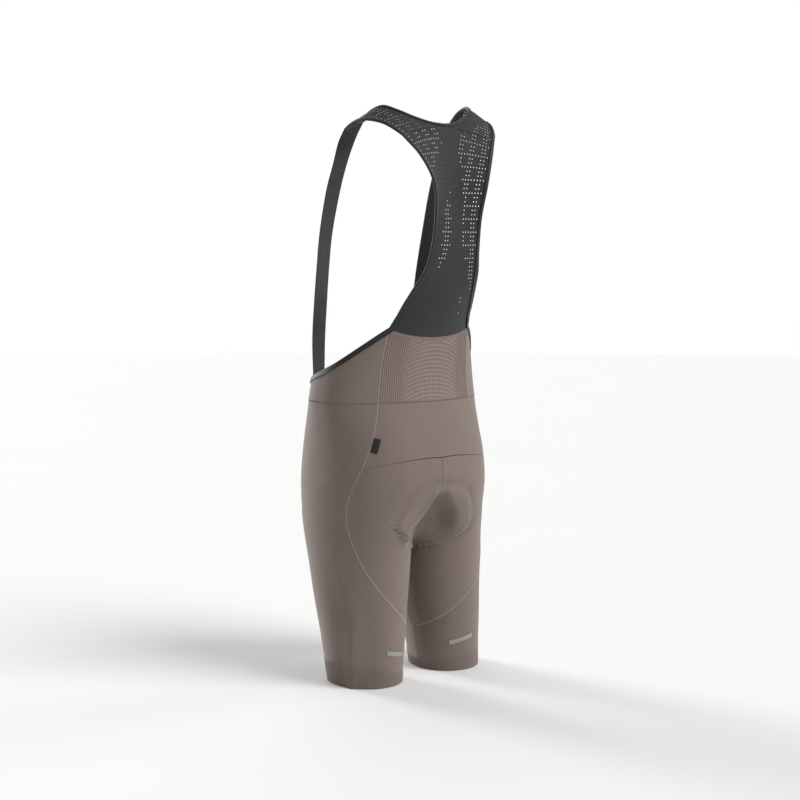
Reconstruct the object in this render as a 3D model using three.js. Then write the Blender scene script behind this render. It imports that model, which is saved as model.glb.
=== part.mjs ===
// Cycling bib shorts as worn: taupe shorts with a ribbed lumbar panel, a perforated back panel that runs
// over the shoulders, and two flat elastic straps down the front. Millimetres, +Z up, front towards -Y,
// wearer's left +X. Heights are measured above the leg hems, and the finished group is moved down so
// that the origin lies at the wearer's shoulders.
import * as THREE from 'three';

// Driving dimensions
const CREST_HEIGHT = 930;
const WAIST_SEAM = 460;
const WALL = 1.2;
const ELASTIC_WALL = 1.4;
const SEAM_GAP = 0.3;
const HALF_GAP = SEAM_GAP / 2;
const OUTER_REACH = 165;
const RAY_STEP = 6;

// Torso sections: half width, front and back of the middle line, and fullness of the corners
const TORSO = [
  { z: 242, halfWidth: 140, front: -106, back: 100 },
  { z: 282, halfWidth: 145, front: -120, back: 112 },
  { z: 322, halfWidth: 147, front: -127, back: 119 },
  { z: 362, halfWidth: 149, front: -128, back: 117 },
  { z: 412, halfWidth: 152, front: -119, back: 103 },
  { z: 462, halfWidth: 153, front: -104, back: 88 },
  { z: 510, halfWidth: 145, front: -100, back: 88 },
  { z: 567, halfWidth: 130, front: -96, back: 99 },
  { z: 632, halfWidth: 126, front: -88, back: 112 },
];
const TORSO_FULLNESS = 2.35;
const TORSO_BASE = 345;
const TORSO_DROP = 118;

// Leg sections: centre, half width, half depth and outward turn in degrees
const LEG = [
  { z: 0, x: 83, y: 20, halfWidth: 56, halfDepth: 64, turn: 10 },
  { z: 72, x: 83, y: 15, halfWidth: 63, halfDepth: 72, turn: 10 },
  { z: 132, x: 82, y: 8, halfWidth: 69, halfDepth: 81, turn: 8 },
  { z: 192, x: 80, y: 1, halfWidth: 73, halfDepth: 92, turn: 4 },
  { z: 232, x: 78, y: -5, halfWidth: 75, halfDepth: 101, turn: 2 },
  { z: 272, x: 76, y: -9, halfWidth: 77, halfDepth: 109, turn: 0 },
  { z: 352, x: 74, y: -9, halfWidth: 75, halfDepth: 112, turn: 0 },
];
const LEG_FULLNESS = 2.1;
const LEG_TOP = 290;
const LEG_CLOSE = 170;
const LEG_BLEND = 12;
const BODY_BLEND = 24;

// Outward sway of each lower leg at its hem
const STANCE = {
  left: { x: 1, y: 0, from: 212 },
  right: { x: -9, y: -4, from: 212 },
};

// Rows run from the hem to the waist. A row is level above the waist seam; below it, its inner end lies
// lower than its outer end. Heights of the inner end are counted from the crotch.
const CROTCH_ROW = 304;
const ROWS = [
  { outer: 0, rise: -240 },
  { outer: 132, rise: -128 },
  { outer: 242, rise: -40 },
  { outer: 304, rise: 0 },
  { outer: 324, rise: 3 },
  { outer: 346, rise: 14 },
  { outer: 372, rise: 48 },
  { outer: 402, rise: 108 },
  { outer: 432, rise: 170 },
];

// Side-back seam: angle from the outward direction towards the back, by row
const SIDE_SEAM = [
  { row: 94, angle: 196 },
  { row: 112, angle: 162 },
  { row: 128, angle: 130 },
  { row: 148, angle: 101 },
  { row: 172, angle: 78.5 },
  { row: 204, angle: 60 },
  { row: 244, angle: 47 },
  { row: 284, angle: 40 },
  { row: 320, angle: 40 },
  { row: 356, angle: 45 },
  { row: 392, angle: 52 },
  { row: 424, angle: 58 },
  { row: 464, angle: 64 },
  { row: 530, angle: 69 },
  { row: 592, angle: 77 },
];

// Ribs of the hem band and of the lumbar panel
const HEM_RIBS = { top: 42, pitch: 4.2, height: 0.45 };
const LUMBAR_RIBS = { pitch: 5.6, height: 0.7 };

const COLOURS = {
  taupe: '#7f726a',
  rib: '#877971',
  mesh: '#414143',
  elastic: '#262627',
  binding: '#2f3133',
  label: '#1b1c1e',
  reflective: '#a3a39b',
};

function profile(table, by, key, at) {
  const last = table.length - 1;
  const value = Math.min(Math.max(at, table[0][by]), table[last][by]);
  let i = 0;
  while (i < last - 1 && value > table[i + 1][by]) i += 1;
  const slope = (k) => {
    const a = table[Math.max(k - 1, 0)];
    const b = table[Math.min(k + 1, last)];
    return (b[key] - a[key]) / (b[by] - a[by]);
  };
  const h = table[i + 1][by] - table[i][by];
  const t = (value - table[i][by]) / h;
  return (2 * t ** 3 - 3 * t ** 2 + 1) * table[i][key] + (t ** 3 - 2 * t ** 2 + t) * h * slope(i)
    + (3 * t ** 2 - 2 * t ** 3) * table[i + 1][key] + (t ** 3 - t ** 2) * h * slope(i + 1);
}

function ramp(from, to, value) {
  const t = Math.min(Math.max((value - from) / (to - from), 0), 1);
  return t * t * (3 - 2 * t);
}

function blend(a, b, width) {
  const h = Math.max(width - Math.abs(a - b), 0) / width;
  return Math.min(a, b) - h * h * width / 4;
}

// Signed distance (about) from the torso and from a leg, below zero inside
function torsoField(x, y, z) {
  const front = profile(TORSO, 'z', 'front', z);
  const back = profile(TORSO, 'z', 'back', z);
  const centre = (front + back) / 2;
  const depth = (back - front) / 2;
  const width = profile(TORSO, 'z', 'halfWidth', z);
  const under = Math.max(TORSO_BASE - z, 0) / TORSO_DROP;
  const sum = Math.abs(x / width) ** TORSO_FULLNESS + Math.abs((y - centre) / depth) ** TORSO_FULLNESS
    + under ** TORSO_FULLNESS;
  return (sum ** (1 / TORSO_FULLNESS) - 1) * Math.min(width, depth);
}

function legField(side, x, y, z) {
  const stance = STANCE[side > 0 ? 'left' : 'right'];
  const sway = ramp(stance.from, 0, z);
  const cx = side * profile(LEG, 'z', 'x', z) + stance.x * sway;
  const cy = profile(LEG, 'z', 'y', z) + stance.y * sway;
  const turn = side * profile(LEG, 'z', 'turn', z) * Math.PI / 180;
  const dx = x - cx;
  const dy = y - cy;
  const across = (dx * Math.cos(turn) + dy * Math.sin(turn)) / profile(LEG, 'z', 'halfWidth', z);
  const along = (dy * Math.cos(turn) - dx * Math.sin(turn)) / profile(LEG, 'z', 'halfDepth', z);
  const over = Math.max(z - LEG_TOP, 0) / LEG_CLOSE;
  const sum = Math.abs(across) ** LEG_FULLNESS + Math.abs(along) ** LEG_FULLNESS + over ** LEG_FULLNESS;
  return (sum ** (1 / LEG_FULLNESS) - 1) * profile(LEG, 'z', 'halfWidth', z);
}

function garmentField(x, y, z) {
  const legs = blend(legField(1, x, y, z), legField(-1, x, y, z), LEG_BLEND);
  return blend(legs, torsoField(x, y, z), BODY_BLEND);
}

// Lowest point of the garment on the middle plane
function findCrotch() {
  let best = { y: 0, z: 400 };
  for (let y = -30; y <= 60; y += 2) {
    let low = 120;
    let high = 320;
    while (high - low > 0.01) {
      const z = (low + high) / 2;
      if (garmentField(0, y, z) < 0) high = z;
      else low = z;
    }
    if (high < best.z) best = { y, z: high };
  }
  return best;
}

const CROTCH = findCrotch();

// Height of a row at its inner end and at a point x from the middle
function rowRise(row) {
  const last = ROWS[ROWS.length - 1];
  if (row >= WAIST_SEAM) return row;
  if (row <= last.outer) return Math.max(0, CROTCH.z + profile(ROWS, 'outer', 'rise', row));
  const from = CROTCH.z + last.rise;
  return from + (WAIST_SEAM - from) * (row - last.outer) / (WAIST_SEAM - last.outer);
}

function rowHeight(row, x) {
  const inner = row <= 0 ? row : rowRise(row);
  return inner + (row - inner) * Math.min(Math.abs(x) / OUTER_REACH, 1);
}

function rowAxis(side, row) {
  const stance = STANCE[side > 0 ? 'left' : 'right'];
  const sway = ramp(stance.from, 0, row);
  const lift = ramp(CROTCH_ROW - 40, WAIST_SEAM, row);
  return {
    x: side * (profile(LEG, 'z', 'x', row) * (1 - lift) + 60 * lift) + stance.x * sway,
    y: profile(LEG, 'z', 'y', row) * (1 - lift) + (CROTCH.y * (1 - lift) - 5 * lift) * lift
      + stance.y * sway,
  };
}

// First crossing of the garment's outer surface along a ray of a row
function rayPoint(side, row, degrees) {
  const axis = rowAxis(side, row);
  const angle = degrees * Math.PI / 180;
  const at = (r) => {
    const x = axis.x + side * r * Math.cos(angle);
    const y = axis.y + r * Math.sin(angle);
    return [x, y, rowHeight(row, x)];
  };
  let far = 20;
  while (far < 260 && garmentField(...at(far)) < 0) far += RAY_STEP;
  let near = far - RAY_STEP;
  for (let i = 0; i < 14; i += 1) {
    const mid = (near + far) / 2;
    if (garmentField(...at(mid)) < 0) near = mid;
    else far = mid;
  }
  return at(far);
}

// Angle at which a row ends: on the middle plane above the crotch, at the inseam below it
const rowEnds = new Map();

function rowEnd(side, row, back, gap) {
  const key = `${side},${row},${back},${gap}`;
  if (!rowEnds.has(key)) rowEnds.set(key, findRowEnd(side, row, back, gap));
  return rowEnds.get(key);
}

function findRowEnd(side, row, back, gap) {
  const limit = 180 - gap * 0.9;
  if (row < CROTCH_ROW) return back * limit;
  let open = 70;
  let shut = 180;
  for (let i = 0; i < 18; i += 1) {
    const mid = (open + shut) / 2;
    if (rayPoint(side, row, back * mid)[0] * side > gap) open = mid;
    else shut = mid;
  }
  return back * open;
}

function sideSeam(side, row) {
  return Math.min(profile(SIDE_SEAM, 'row', 'angle', row), rowEnd(side, row, 1, HALF_GAP));
}

function seamShift(gap) {
  return gap * 0.95;
}

function fieldNormal([x, y, z]) {
  const e = 0.5;
  const n = new THREE.Vector3(
    garmentField(x + e, y, z) - garmentField(x - e, y, z),
    garmentField(x, y + e, z) - garmentField(x, y - e, z),
    garmentField(x, y, z + e) - garmentField(x, y, z - e),
  );
  return n.normalize();
}

// Relief of the seat pad that shows through the cloth
const PAD = [
  { z: 234, halfWidth: 60 },
  { z: 252, halfWidth: 78 },
  { z: 268, halfWidth: 80 },
  { z: 284, halfWidth: 72 },
  { z: 300, halfWidth: 54 },
  { z: 315, halfWidth: 34 },
  { z: 328, halfWidth: 14 },
];
const PAD_RELIEF = 2.6;
const PAD_FLOOR = 248;

function padRelief([x, y, z]) {
  if (y < CROTCH.y - 60 || z > 330) return 0;
  const wide = profile(PAD, 'z', 'halfWidth', z) - Math.abs(x);
  const floor = z - PAD_FLOOR + 14 * ramp(40, 0, Math.abs(x));
  const front = y - (CROTCH.y - 50);
  return PAD_RELIEF * ramp(0, 10, wide) * ramp(0, 8, floor) * ramp(0, 20, front);
}

// A vertex of the body: outer point, outward normal and extra height of the outer face
function bodyVertex(side, row, angle, raise = 0) {
  const p = rayPoint(side, row, angle);
  const point = new THREE.Vector3(...p);
  const normal = fieldNormal(p);
  point.addScaledVector(normal, padRelief(p));
  return { point, normal, raise };
}

// Triangles between two rows of vertices; rows of equal number are split along their shorter diagonals
function zip(faces, lower, upper) {
  let i = 0;
  let j = 0;
  const m = lower.length - 1;
  const n = upper.length - 1;
  while (i < m || j < n) {
    if (m === n) {
      const [a, b, c, d] = [lower[i], lower[i + 1], upper[i + 1], upper[i]];
      if (b.point.distanceTo(d.point) <= a.point.distanceTo(c.point)) faces.push([a, b, d], [b, c, d]);
      else faces.push([a, b, c], [a, c, d]);
      i += 1;
      j += 1;
      continue;
    }
    if (j === n || (i < m && (i + 1) / m <= (j + 1) / n)) {
      faces.push([lower[i], lower[i + 1], upper[j]]);
      i += 1;
    } else {
      faces.push([lower[i], upper[j + 1], upper[j]]);
      j += 1;
    }
  }
}

function zipAll(strips) {
  const faces = [];
  for (const rows of strips) {
    for (let k = 0; k + 1 < rows.length; k += 1) zip(faces, rows[k], rows[k + 1]);
  }
  return faces;
}

// Vertex normals of a sheet from its faces, where the vertices have none of their own
function addNormals(faces) {
  const sums = new Map();
  for (const face of faces) {
    const [a, b, c] = face.map((v) => v.point);
    const n = b.clone().sub(a).cross(c.clone().sub(a));
    for (const v of face) {
      if (!sums.has(v)) sums.set(v, new THREE.Vector3());
      sums.get(v).add(n);
    }
  }
  for (const [v, n] of sums) {
    if (!v.normal) v.normal = n.normalize();
  }
}

// Closed wall: the sheet's faces outside, the same faces moved in by the wall, and strips along its edges
function wallGeometry(faces, wall) {
  addNormals(faces);
  const index = new Map();
  const positions = [];
  for (const face of faces) {
    for (const v of face) {
      if (index.has(v)) continue;
      index.set(v, index.size);
    }
  }
  for (const v of index.keys()) {
    const p = v.point.clone().addScaledVector(v.normal, v.raise || 0);
    positions.push(p.x, p.y, p.z);
  }
  for (const v of index.keys()) {
    const p = v.point.clone().addScaledVector(v.normal, -wall);
    positions.push(p.x, p.y, p.z);
  }
  const count = index.size;
  const triangles = [];
  const edges = new Map();
  for (const face of faces) {
    const [a, b, c] = face.map((v) => index.get(v));
    triangles.push(a, b, c, c + count, b + count, a + count);
    for (const [p, q] of [[a, b], [b, c], [c, a]]) {
      if (edges.has(`${q},${p}`)) edges.delete(`${q},${p}`);
      else edges.set(`${p},${q}`, [p, q]);
    }
  }
  for (const [p, q] of edges.values()) triangles.push(q, p, p + count, q, p + count, q + count);
  const geometry = new THREE.BufferGeometry();
  geometry.setAttribute('position', new THREE.Float32BufferAttribute(positions, 3));
  geometry.setIndex(triangles);
  geometry.computeVertexNormals();
  return geometry;
}

function spaced(count, fn) {
  return Array.from({ length: count + 1 }, (_, i) => fn(i / count));
}

function clothMesh(name, strips, wall, colour, roughness = 0.85) {
  const material = new THREE.MeshStandardMaterial({ color: colour, roughness, metalness: 0 });
  const mesh = new THREE.Mesh(wallGeometry(zipAll(strips), wall), material);
  mesh.name = name;
  return mesh;
}

// Rows of a body panel in angle order, turned over on the right so that faces look outwards
function facing(side, row) {
  return side > 0 ? row : row.slice().reverse();
}

const WAIST_ROW = WAIST_SEAM - HALF_GAP;
const SEAT_TIP = 107;
const SEAM_ROWS = [118, 130, 145, 163, 184, 210, 238, 264, 286, CROTCH_ROW, 314, 324, 334, 347];

// Yoke seam across the back: height at the centre back and drop towards the side-back seam
const YOKE_SEAM = { centre: 370, drop: 16, reach: 128 };

// Row whose height is that of the yoke seam, from the centre back (0) to the side-back seam (1)
function yokeRow(t) {
  const height = YOKE_SEAM.centre - YOKE_SEAM.drop * t * t;
  let low = CROTCH_ROW;
  let high = WAIST_SEAM;
  while (high - low > 0.01) {
    const mid = (low + high) / 2;
    if (rowHeight(mid, YOKE_SEAM.reach * t) < height) low = mid;
    else high = mid;
  }
  return high;
}

const YOKE_ROWS = [0.25, 0.5, 0.75, 1].map((t) => yokeRow(1) + (WAIST_ROW - yokeRow(1)) * t);
const BACK_COLUMNS = 10;

// Leg panel: front, side and lower back of a leg in one, with a ribbed hem
function legPanel(side, name) {
  const columns = 18;
  const backEnd = (row) => sideSeam(side, row) - seamShift(HALF_GAP);
  const rowOf = (row, count, ribbed) => {
    const from = rowEnd(side, row, -1, HALF_GAP);
    const to = backEnd(row);
    const raise = (i) => (ribbed && i > 0 && i < count && i % 2 === 1 ? HEM_RIBS.height : 0);
    return facing(side, spaced(count, (t) => (
      bodyVertex(side, row, from + (to - from) * t, raise(Math.round(t * count))))));
  };
  const ribCount = 2 * Math.round(400 / HEM_RIBS.pitch);
  const rows = [rowOf(0, ribCount, true), rowOf(HEM_RIBS.top - 2, ribCount, true)];
  const heights = [HEM_RIBS.top + 4, 68, 92, SEAT_TIP, ...SEAM_ROWS, yokeRow(1), ...YOKE_ROWS];
  for (const row of heights) rows.push(rowOf(row, columns, false));
  return clothMesh(name, [rows], WALL, COLOURS.taupe);
}

// Seat panel: from its tip at the inseam up to the yoke, and from the side-back seam to the centre back
function seatPanel(side, name) {
  const top = yokeRow(1);
  const rowAt = (sideRow, q) => {
    if (sideRow <= CROTCH_ROW) return sideRow;
    const share = (sideRow - CROTCH_ROW) / (top - CROTCH_ROW);
    return CROTCH_ROW + (yokeRow(1 - q) - seamShift(SEAM_GAP) - CROTCH_ROW) * share;
  };
  const rows = [SEAT_TIP, ...SEAM_ROWS, top].map((sideRow) => facing(side, spaced(BACK_COLUMNS, (q) => {
    const row = rowAt(sideRow, q);
    const from = sideSeam(side, row) + seamShift(HALF_GAP);
    const to = rowEnd(side, row, 1, HALF_GAP);
    return bodyVertex(side, row, from + (to - from) * q);
  })));
  return clothMesh(name, [rows], WALL, COLOURS.taupe);
}

// Panel across the whole back between two seams, both halves in one
function backPanel(name, rowsUp, columns, rowAt, raiseAt, colour) {
  const rows = spaced(rowsUp, (p) => spaced(2 * columns, (t) => {
    const side = t <= 0.5 ? 1 : -1;
    const q = Math.abs(2 * t - 1);
    const row = rowAt(p, q);
    const to = sideSeam(side, row) + seamShift(HALF_GAP);
    const from = rowEnd(side, row, 1, 0);
    return bodyVertex(side, row, from + (to - from) * q, raiseAt(p, t));
  }));
  return clothMesh(name, [rows], WALL, colour);
}

function backYoke() {
  const rowAt = (p, q) => {
    const low = yokeRow(q) + seamShift(SEAM_GAP) * (1 - q);
    return low + (WAIST_ROW - low) * p;
  };
  return backPanel('back_yoke', YOKE_ROWS.length, BACK_COLUMNS, rowAt, () => 0, COLOURS.taupe);
}

// Lumbar panel: its top dips at the centre back
const LUMBAR_TOP = { centre: 566, side: 580 };
const WAIST_ROWS = 4;

function lumbarTop(q) {
  return LUMBAR_TOP.centre + (LUMBAR_TOP.side - LUMBAR_TOP.centre) * q ** 2;
}

function lumbarPanel() {
  const columns = 2 * Math.round(125 / LUMBAR_RIBS.pitch);
  const low = WAIST_SEAM + HALF_GAP;
  const rowAt = (p, q) => low + (lumbarTop(q) - low) * p;
  const raiseAt = (p, t) => {
    const column = Math.round(t * 2 * columns);
    const inside = p > 0 && p < 1 && Math.abs(2 * t - 1) < 0.92;
    return inside && column % 2 === 1 ? LUMBAR_RIBS.height : 0;
  };
  return backPanel('lumbar_panel', WAIST_ROWS, columns, rowAt, raiseAt, COLOURS.rib);
}

// Top edge of the waist front: level across the front, rising to the lumbar panel's corner at the side
const FRONT_EDGE = [
  { t: 0, z: 486 },
  { t: 0.25, z: 487 },
  { t: 0.45, z: 494 },
  { t: 0.7, z: 520 },
  { t: 0.88, z: 553 },
  { t: 1, z: 580 },
];

const FRONT_COLUMNS = 18;

function frontEdge(t) {
  return profile(FRONT_EDGE, 't', 'z', t);
}

function waistAngle(side, row, t) {
  const from = rowEnd(side, row, -1, HALF_GAP);
  const to = sideSeam(side, row) - seamShift(HALF_GAP);
  return from + (to - from) * t;
}

function waistFront(side, name) {
  const rows = spaced(WAIST_ROWS, (p) => facing(side, spaced(FRONT_COLUMNS, (t) => {
    const row = WAIST_SEAM + HALF_GAP + (frontEdge(t) - WAIST_SEAM - HALF_GAP) * p;
    return bodyVertex(side, row, waistAngle(side, row, t));
  })));
  return clothMesh(name, [rows], WALL, COLOURS.taupe);
}

// Back panel sections below the neck: centre line, and half width and depth line of the edges
const BACK = [
  { z: 566, centreY: 99, halfWidth: 80, edgeY: 84, edgeZ: 580 },
  { z: 602, centreY: 112, halfWidth: 74, edgeY: 103, edgeZ: 612 },
  { z: 637, centreY: 127, halfWidth: 65, edgeY: 122, edgeZ: 643 },
  { z: 667, centreY: 138, halfWidth: 56, edgeY: 138, edgeZ: 670 },
  { z: 701, centreY: 148, halfWidth: 50, edgeY: 146, edgeZ: 702 },
  { z: 754, centreY: 150, halfWidth: 48, edgeY: 154, edgeZ: 754 },
  { z: 808, centreY: 147, halfWidth: 56, edgeY: 160, edgeZ: 807 },
  { z: 855, centreY: 138, halfWidth: 74, edgeY: 150, edgeZ: 848 },
  { z: 902, centreY: 118, halfWidth: 96, edgeY: 132, edgeZ: 880 },
];

// Shoulder sections from the neck's lowest point over the shoulder to the front strap
const SHOULDER = [
  { s: 0, innerX: 0, innerY: 118, innerZ: 902, outerX: 96, outerY: 132, outerZ: 880, crown: 0 },
  { s: 1, innerX: 26, innerY: 116, innerZ: 904, outerX: 104, outerY: 124, outerZ: 888, crown: 1.5 },
  { s: 2, innerX: 52, innerY: 108, innerZ: 911, outerX: 113, outerY: 109, outerZ: 898, crown: 2 },
  { s: 3, innerX: 76, innerY: 93, innerZ: 922, outerX: 121, outerY: 90, outerZ: 904, crown: 2 },
  { s: 4, innerX: 88, innerY: 72, innerZ: 929, outerX: 126, outerY: 66, outerZ: 906, crown: 2 },
  { s: 5, innerX: 92, innerY: 48, innerZ: 922, outerX: 127, outerY: 41, outerZ: 901, crown: 1 },
  { s: 6, innerX: 93, innerY: 30, innerZ: 908, outerX: 126, outerY: 20, outerZ: 891, crown: 0 },
];

// The wearer's right shoulder stands a little higher
const RIGHT_LIFT = 8;

const BACK_TOP = BACK[BACK.length - 1].z;
const BACK_HEIGHTS = [588, 600, 614, 630, 648, 668, 690, 714, 740, 766, 792, 816, 838, 858, 875, 890, BACK_TOP];

function backPoint(side, s, q) {
  const value = (key) => profile(BACK, 'z', key, s);
  const x = value('halfWidth') * q;
  const y = value('centreY') + (value('edgeY') - value('centreY')) * q * q;
  const z = s + (value('edgeZ') - s) * q * q;
  return new THREE.Vector3(side * x, y, z);
}

function shoulderPoint(side, s, q) {
  const value = (key) => profile(SHOULDER, 's', key, s);
  const mix = (axis) => value(`inner${axis}`) + (value(`outer${axis}`) - value(`inner${axis}`)) * q;
  const crown = value('crown') * 4 * q * (1 - q);
  const lift = side < 0 ? RIGHT_LIFT * ramp(0, 3, s) : 0;
  return new THREE.Vector3(side * mix('X'), mix('Y') + 0.5 * crown, mix('Z') + crown + lift);
}

function backMesh() {
  const columns = 5;
  const foot = spaced(2 * columns, (t) => {
    const side = t <= 0.5 ? 1 : -1;
    const q = Math.abs(2 * t - 1);
    const row = lumbarTop(q) + SEAM_GAP;
    const from = rowEnd(side, row, 1, 0);
    const to = sideSeam(side, row) + seamShift(HALF_GAP);
    return { point: bodyVertex(side, row, from + (to - from) * q).point };
  });
  const body = [foot, ...BACK_HEIGHTS.map((s) => spaced(2 * columns, (t) => {
    const side = t <= 0.5 ? 1 : -1;
    return { point: backPoint(side, s, Math.abs(2 * t - 1)) };
  }))];
  const top = body[body.length - 1];
  const strapRows = (side) => {
    const rows = spaced(12, (t) => spaced(columns, (q) => ({ point: shoulderPoint(side, 6 * t, q) })));
    const first = side > 0 ? top.slice(0, columns + 1) : top.slice(columns);
    const rest = rows.slice(1).map((row) => (side > 0 ? row.reverse() : row));
    return [first, ...rest];
  };
  return clothMesh('back_mesh', [body, strapRows(1), strapRows(-1)], WALL, COLOURS.mesh, 0.8);
}

// Front strap sections: inner and outer edges of the flat elastic
const STRAP = [
  { z: 500, innerX: 80, innerY: -93, outerX: 116, outerY: -75, drop: 0 },
  { z: 558, innerX: 86, innerY: -83, outerX: 122, outerY: -69, drop: 0 },
  { z: 622, innerX: 93, innerY: -68, outerX: 129, outerY: -54, drop: 0 },
  { z: 672, innerX: 95, innerY: -60, outerX: 131, outerY: -45, drop: 0 },
  { z: 731, innerX: 97, innerY: -48, outerX: 132, outerY: -35, drop: 0 },
  { z: 800, innerX: 96, innerY: -28, outerX: 131, outerY: -18, drop: 1 },
  { z: 847, innerX: 95, innerY: -9, outerX: 129, outerY: -2, drop: 5 },
  { z: 884, innerX: 94, innerY: 12, outerX: 127, outerY: 8, drop: 11 },
  { z: 907.2, innerX: 93, innerY: 29.3, outerX: 126, outerY: 19.2, drop: 17 },
];

function strapPoint(side, s, q) {
  const value = (key) => profile(STRAP, 'z', key, s);
  const mix = (axis) => value(`inner${axis}`) + (value(`outer${axis}`) - value(`inner${axis}`)) * q;
  const lift = side < 0 ? RIGHT_LIFT * ramp(700, STRAP[STRAP.length - 1].z, s) : 0;
  return new THREE.Vector3(side * mix('X'), mix('Y'), s - value('drop') * q + lift);
}

// Point in front of the body at a distance x from the middle, moved out over the cloth beneath
function frontPoint(side, x, z, lift) {
  let near = -20;
  let far = -160;
  while (near - far > 0.01) {
    const mid = (near + far) / 2;
    if (garmentField(side * x, mid, z) < 0) near = mid;
    else far = mid;
  }
  const point = [side * x, far, z];
  return new THREE.Vector3(...point).addScaledVector(fieldNormal(point), lift);
}

// Front strap: sewn flat over the waist front's edge at its foot, and free above it
function frontStrap(side, name) {
  const foot = [{ z: 463, pull: 4 }, { z: 473, pull: 2 }, { z: 483, pull: 1 }, { z: 491, pull: 0 }];
  const lift = BINDING.clear + BINDING.thick + 2 * SEAM_GAP + ELASTIC_WALL;
  const turned = (row) => (side > 0 ? row : row.reverse());
  const footRows = foot.map(({ z, pull }) => turned(spaced(3, (q) => ({
    point: frontPoint(side, STRAP[0].innerX + (STRAP[0].outerX - STRAP[0].innerX) * q + pull, z, lift),
  }))));
  const freeRows = spaced(16, (t) => {
    const s = STRAP[0].z + (STRAP[STRAP.length - 1].z - STRAP[0].z) * t;
    return turned(spaced(3, (q) => ({ point: strapPoint(side, s, q) })));
  });
  return clothMesh(name, [[...footRows, ...freeRows]], ELASTIC_WALL, COLOURS.elastic, 0.6);
}

// Folded binding round an edge: stations give the edge point, the outward normal and the way into the cloth
const BINDING = { thick: 0.8, clear: 0.8, frontReach: 7, backReach: 4, neckReach: 3.5 };

function distance(positions, i, j) {
  return Math.hypot(...[0, 1, 2].map((k) => positions[3 * i + k] - positions[3 * j + k]));
}

function bindingMesh(name, stations, turned) {
  const out = BINDING.clear + BINDING.thick;
  const section = (reach) => [
    [reach, BINDING.clear], [reach, out], [-out, out], [-out, -WALL - out],
    [reach, -WALL - out], [reach, -WALL - BINDING.clear], [-BINDING.clear, -WALL - BINDING.clear],
    [-BINDING.clear, BINDING.clear],
  ];
  const positions = [];
  for (const { point, normal, into, reach } of stations) {
    for (const [along, up] of section(reach)) {
      const p = point.clone().addScaledVector(into, along).addScaledVector(normal, up);
      positions.push(p.x, p.y, p.z);
    }
  }
  const triangles = [];
  const size = 8;
  for (let k = 0; k + 1 < stations.length; k += 1) {
    for (let i = 0; i < size; i += 1) {
      const a = k * size + i;
      const b = k * size + (i + 1) % size;
      const [c, d] = [b + size, a + size];
      if (distance(positions, b, d) <= distance(positions, a, c)) triangles.push(a, b, d, b, c, d);
      else triangles.push(a, b, c, a, c, d);
    }
  }
  const cap = [[0, 2, 1], [0, 7, 2], [7, 3, 2], [7, 6, 3], [6, 4, 3], [6, 5, 4]];
  const last = (stations.length - 1) * size;
  for (const [a, b, c] of cap) {
    triangles.push(a, b, c);
    triangles.push(last + a, last + c, last + b);
  }
  if (turned) triangles.reverse();
  const geometry = new THREE.BufferGeometry();
  geometry.setAttribute('position', new THREE.Float32BufferAttribute(positions, 3));
  geometry.setIndex(triangles);
  geometry.computeVertexNormals();
  const material = new THREE.MeshStandardMaterial({ color: COLOURS.binding, roughness: 0.7, metalness: 0 });
  const mesh = new THREE.Mesh(geometry, material);
  mesh.name = name;
  return mesh;
}

// Stations along an edge from its points and from the points a little way into the cloth
function edgeStations(pairs, reachAt, sign) {
  return pairs.map(({ edge, inner }, k) => {
    const before = pairs[Math.max(k - 1, 0)].edge;
    const after = pairs[Math.min(k + 1, pairs.length - 1)].edge;
    const along = after.clone().sub(before).normalize();
    const into = inner.clone().sub(edge);
    into.addScaledVector(along, -into.dot(along)).normalize();
    const normal = into.clone().cross(along).multiplyScalar(sign).normalize();
    return { point: edge, normal, into, reach: reachAt(k / (pairs.length - 1)) };
  });
}

// A point of the waist front's top edge, and the one square to the edge at the binding's reach
function frontEdgePair(side, t) {
  const row = frontEdge(t);
  const angle = waistAngle(side, row, t);
  const edge = bodyVertex(side, row, angle).point;
  const after = Math.min(t + 0.02, 1);
  const before = Math.max(t - 0.02, 0);
  const rise = frontEdge(after) - frontEdge(before);
  const turn = waistAngle(side, row, after) - waistAngle(side, row, before);
  const perDegree = edge.distanceTo(bodyVertex(side, row, angle + 1).point);
  const run = turn * perDegree;
  const scale = BINDING.frontReach / Math.hypot(rise, run);
  const inner = bodyVertex(side, row - run * scale, angle + rise * scale / perDegree).point;
  return { edge, inner };
}

// Binding of the armhole: front edge of the waist, back panel's edge, and over the shoulder
function armholeBinding(side, name) {
  const pairs = [];
  for (let k = 0; k <= FRONT_COLUMNS; k += 1) pairs.push(frontEdgePair(side, k / FRONT_COLUMNS));
  for (const s of BACK_HEIGHTS.slice(0, -1)) {
    pairs.push({ edge: backPoint(side, s, 1), inner: backPoint(side, s, 0.93) });
  }
  for (const s of [0, 0.5, 1, 1.5, 2, 2.5, 3, 3.5, 4, 4.5, 5, 5.5, 5.8]) {
    pairs.push({ edge: shoulderPoint(side, s, 1), inner: shoulderPoint(side, s, 0.93) });
  }
  const narrowing = BINDING.frontReach - BINDING.backReach;
  const reachAt = (t) => BINDING.frontReach - narrowing * ramp(0.4, 0.6, t);
  return bindingMesh(name, edgeStations(pairs, reachAt, side), side > 0);
}

function neckBinding() {
  const pairs = [];
  for (let k = 12; k >= -12; k -= 1) {
    const side = k >= 0 ? 1 : -1;
    const s = Math.abs(k) / 2;
    const edge = shoulderPoint(side, s, 0);
    const inner = k === 0 ? backPoint(side, BACK_TOP - 6, 0) : shoulderPoint(side, s, 0.06);
    pairs.push({ edge, inner });
  }
  return bindingMesh('neck_binding', edgeStations(pairs, () => BINDING.neckReach, 1), true);
}

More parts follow.
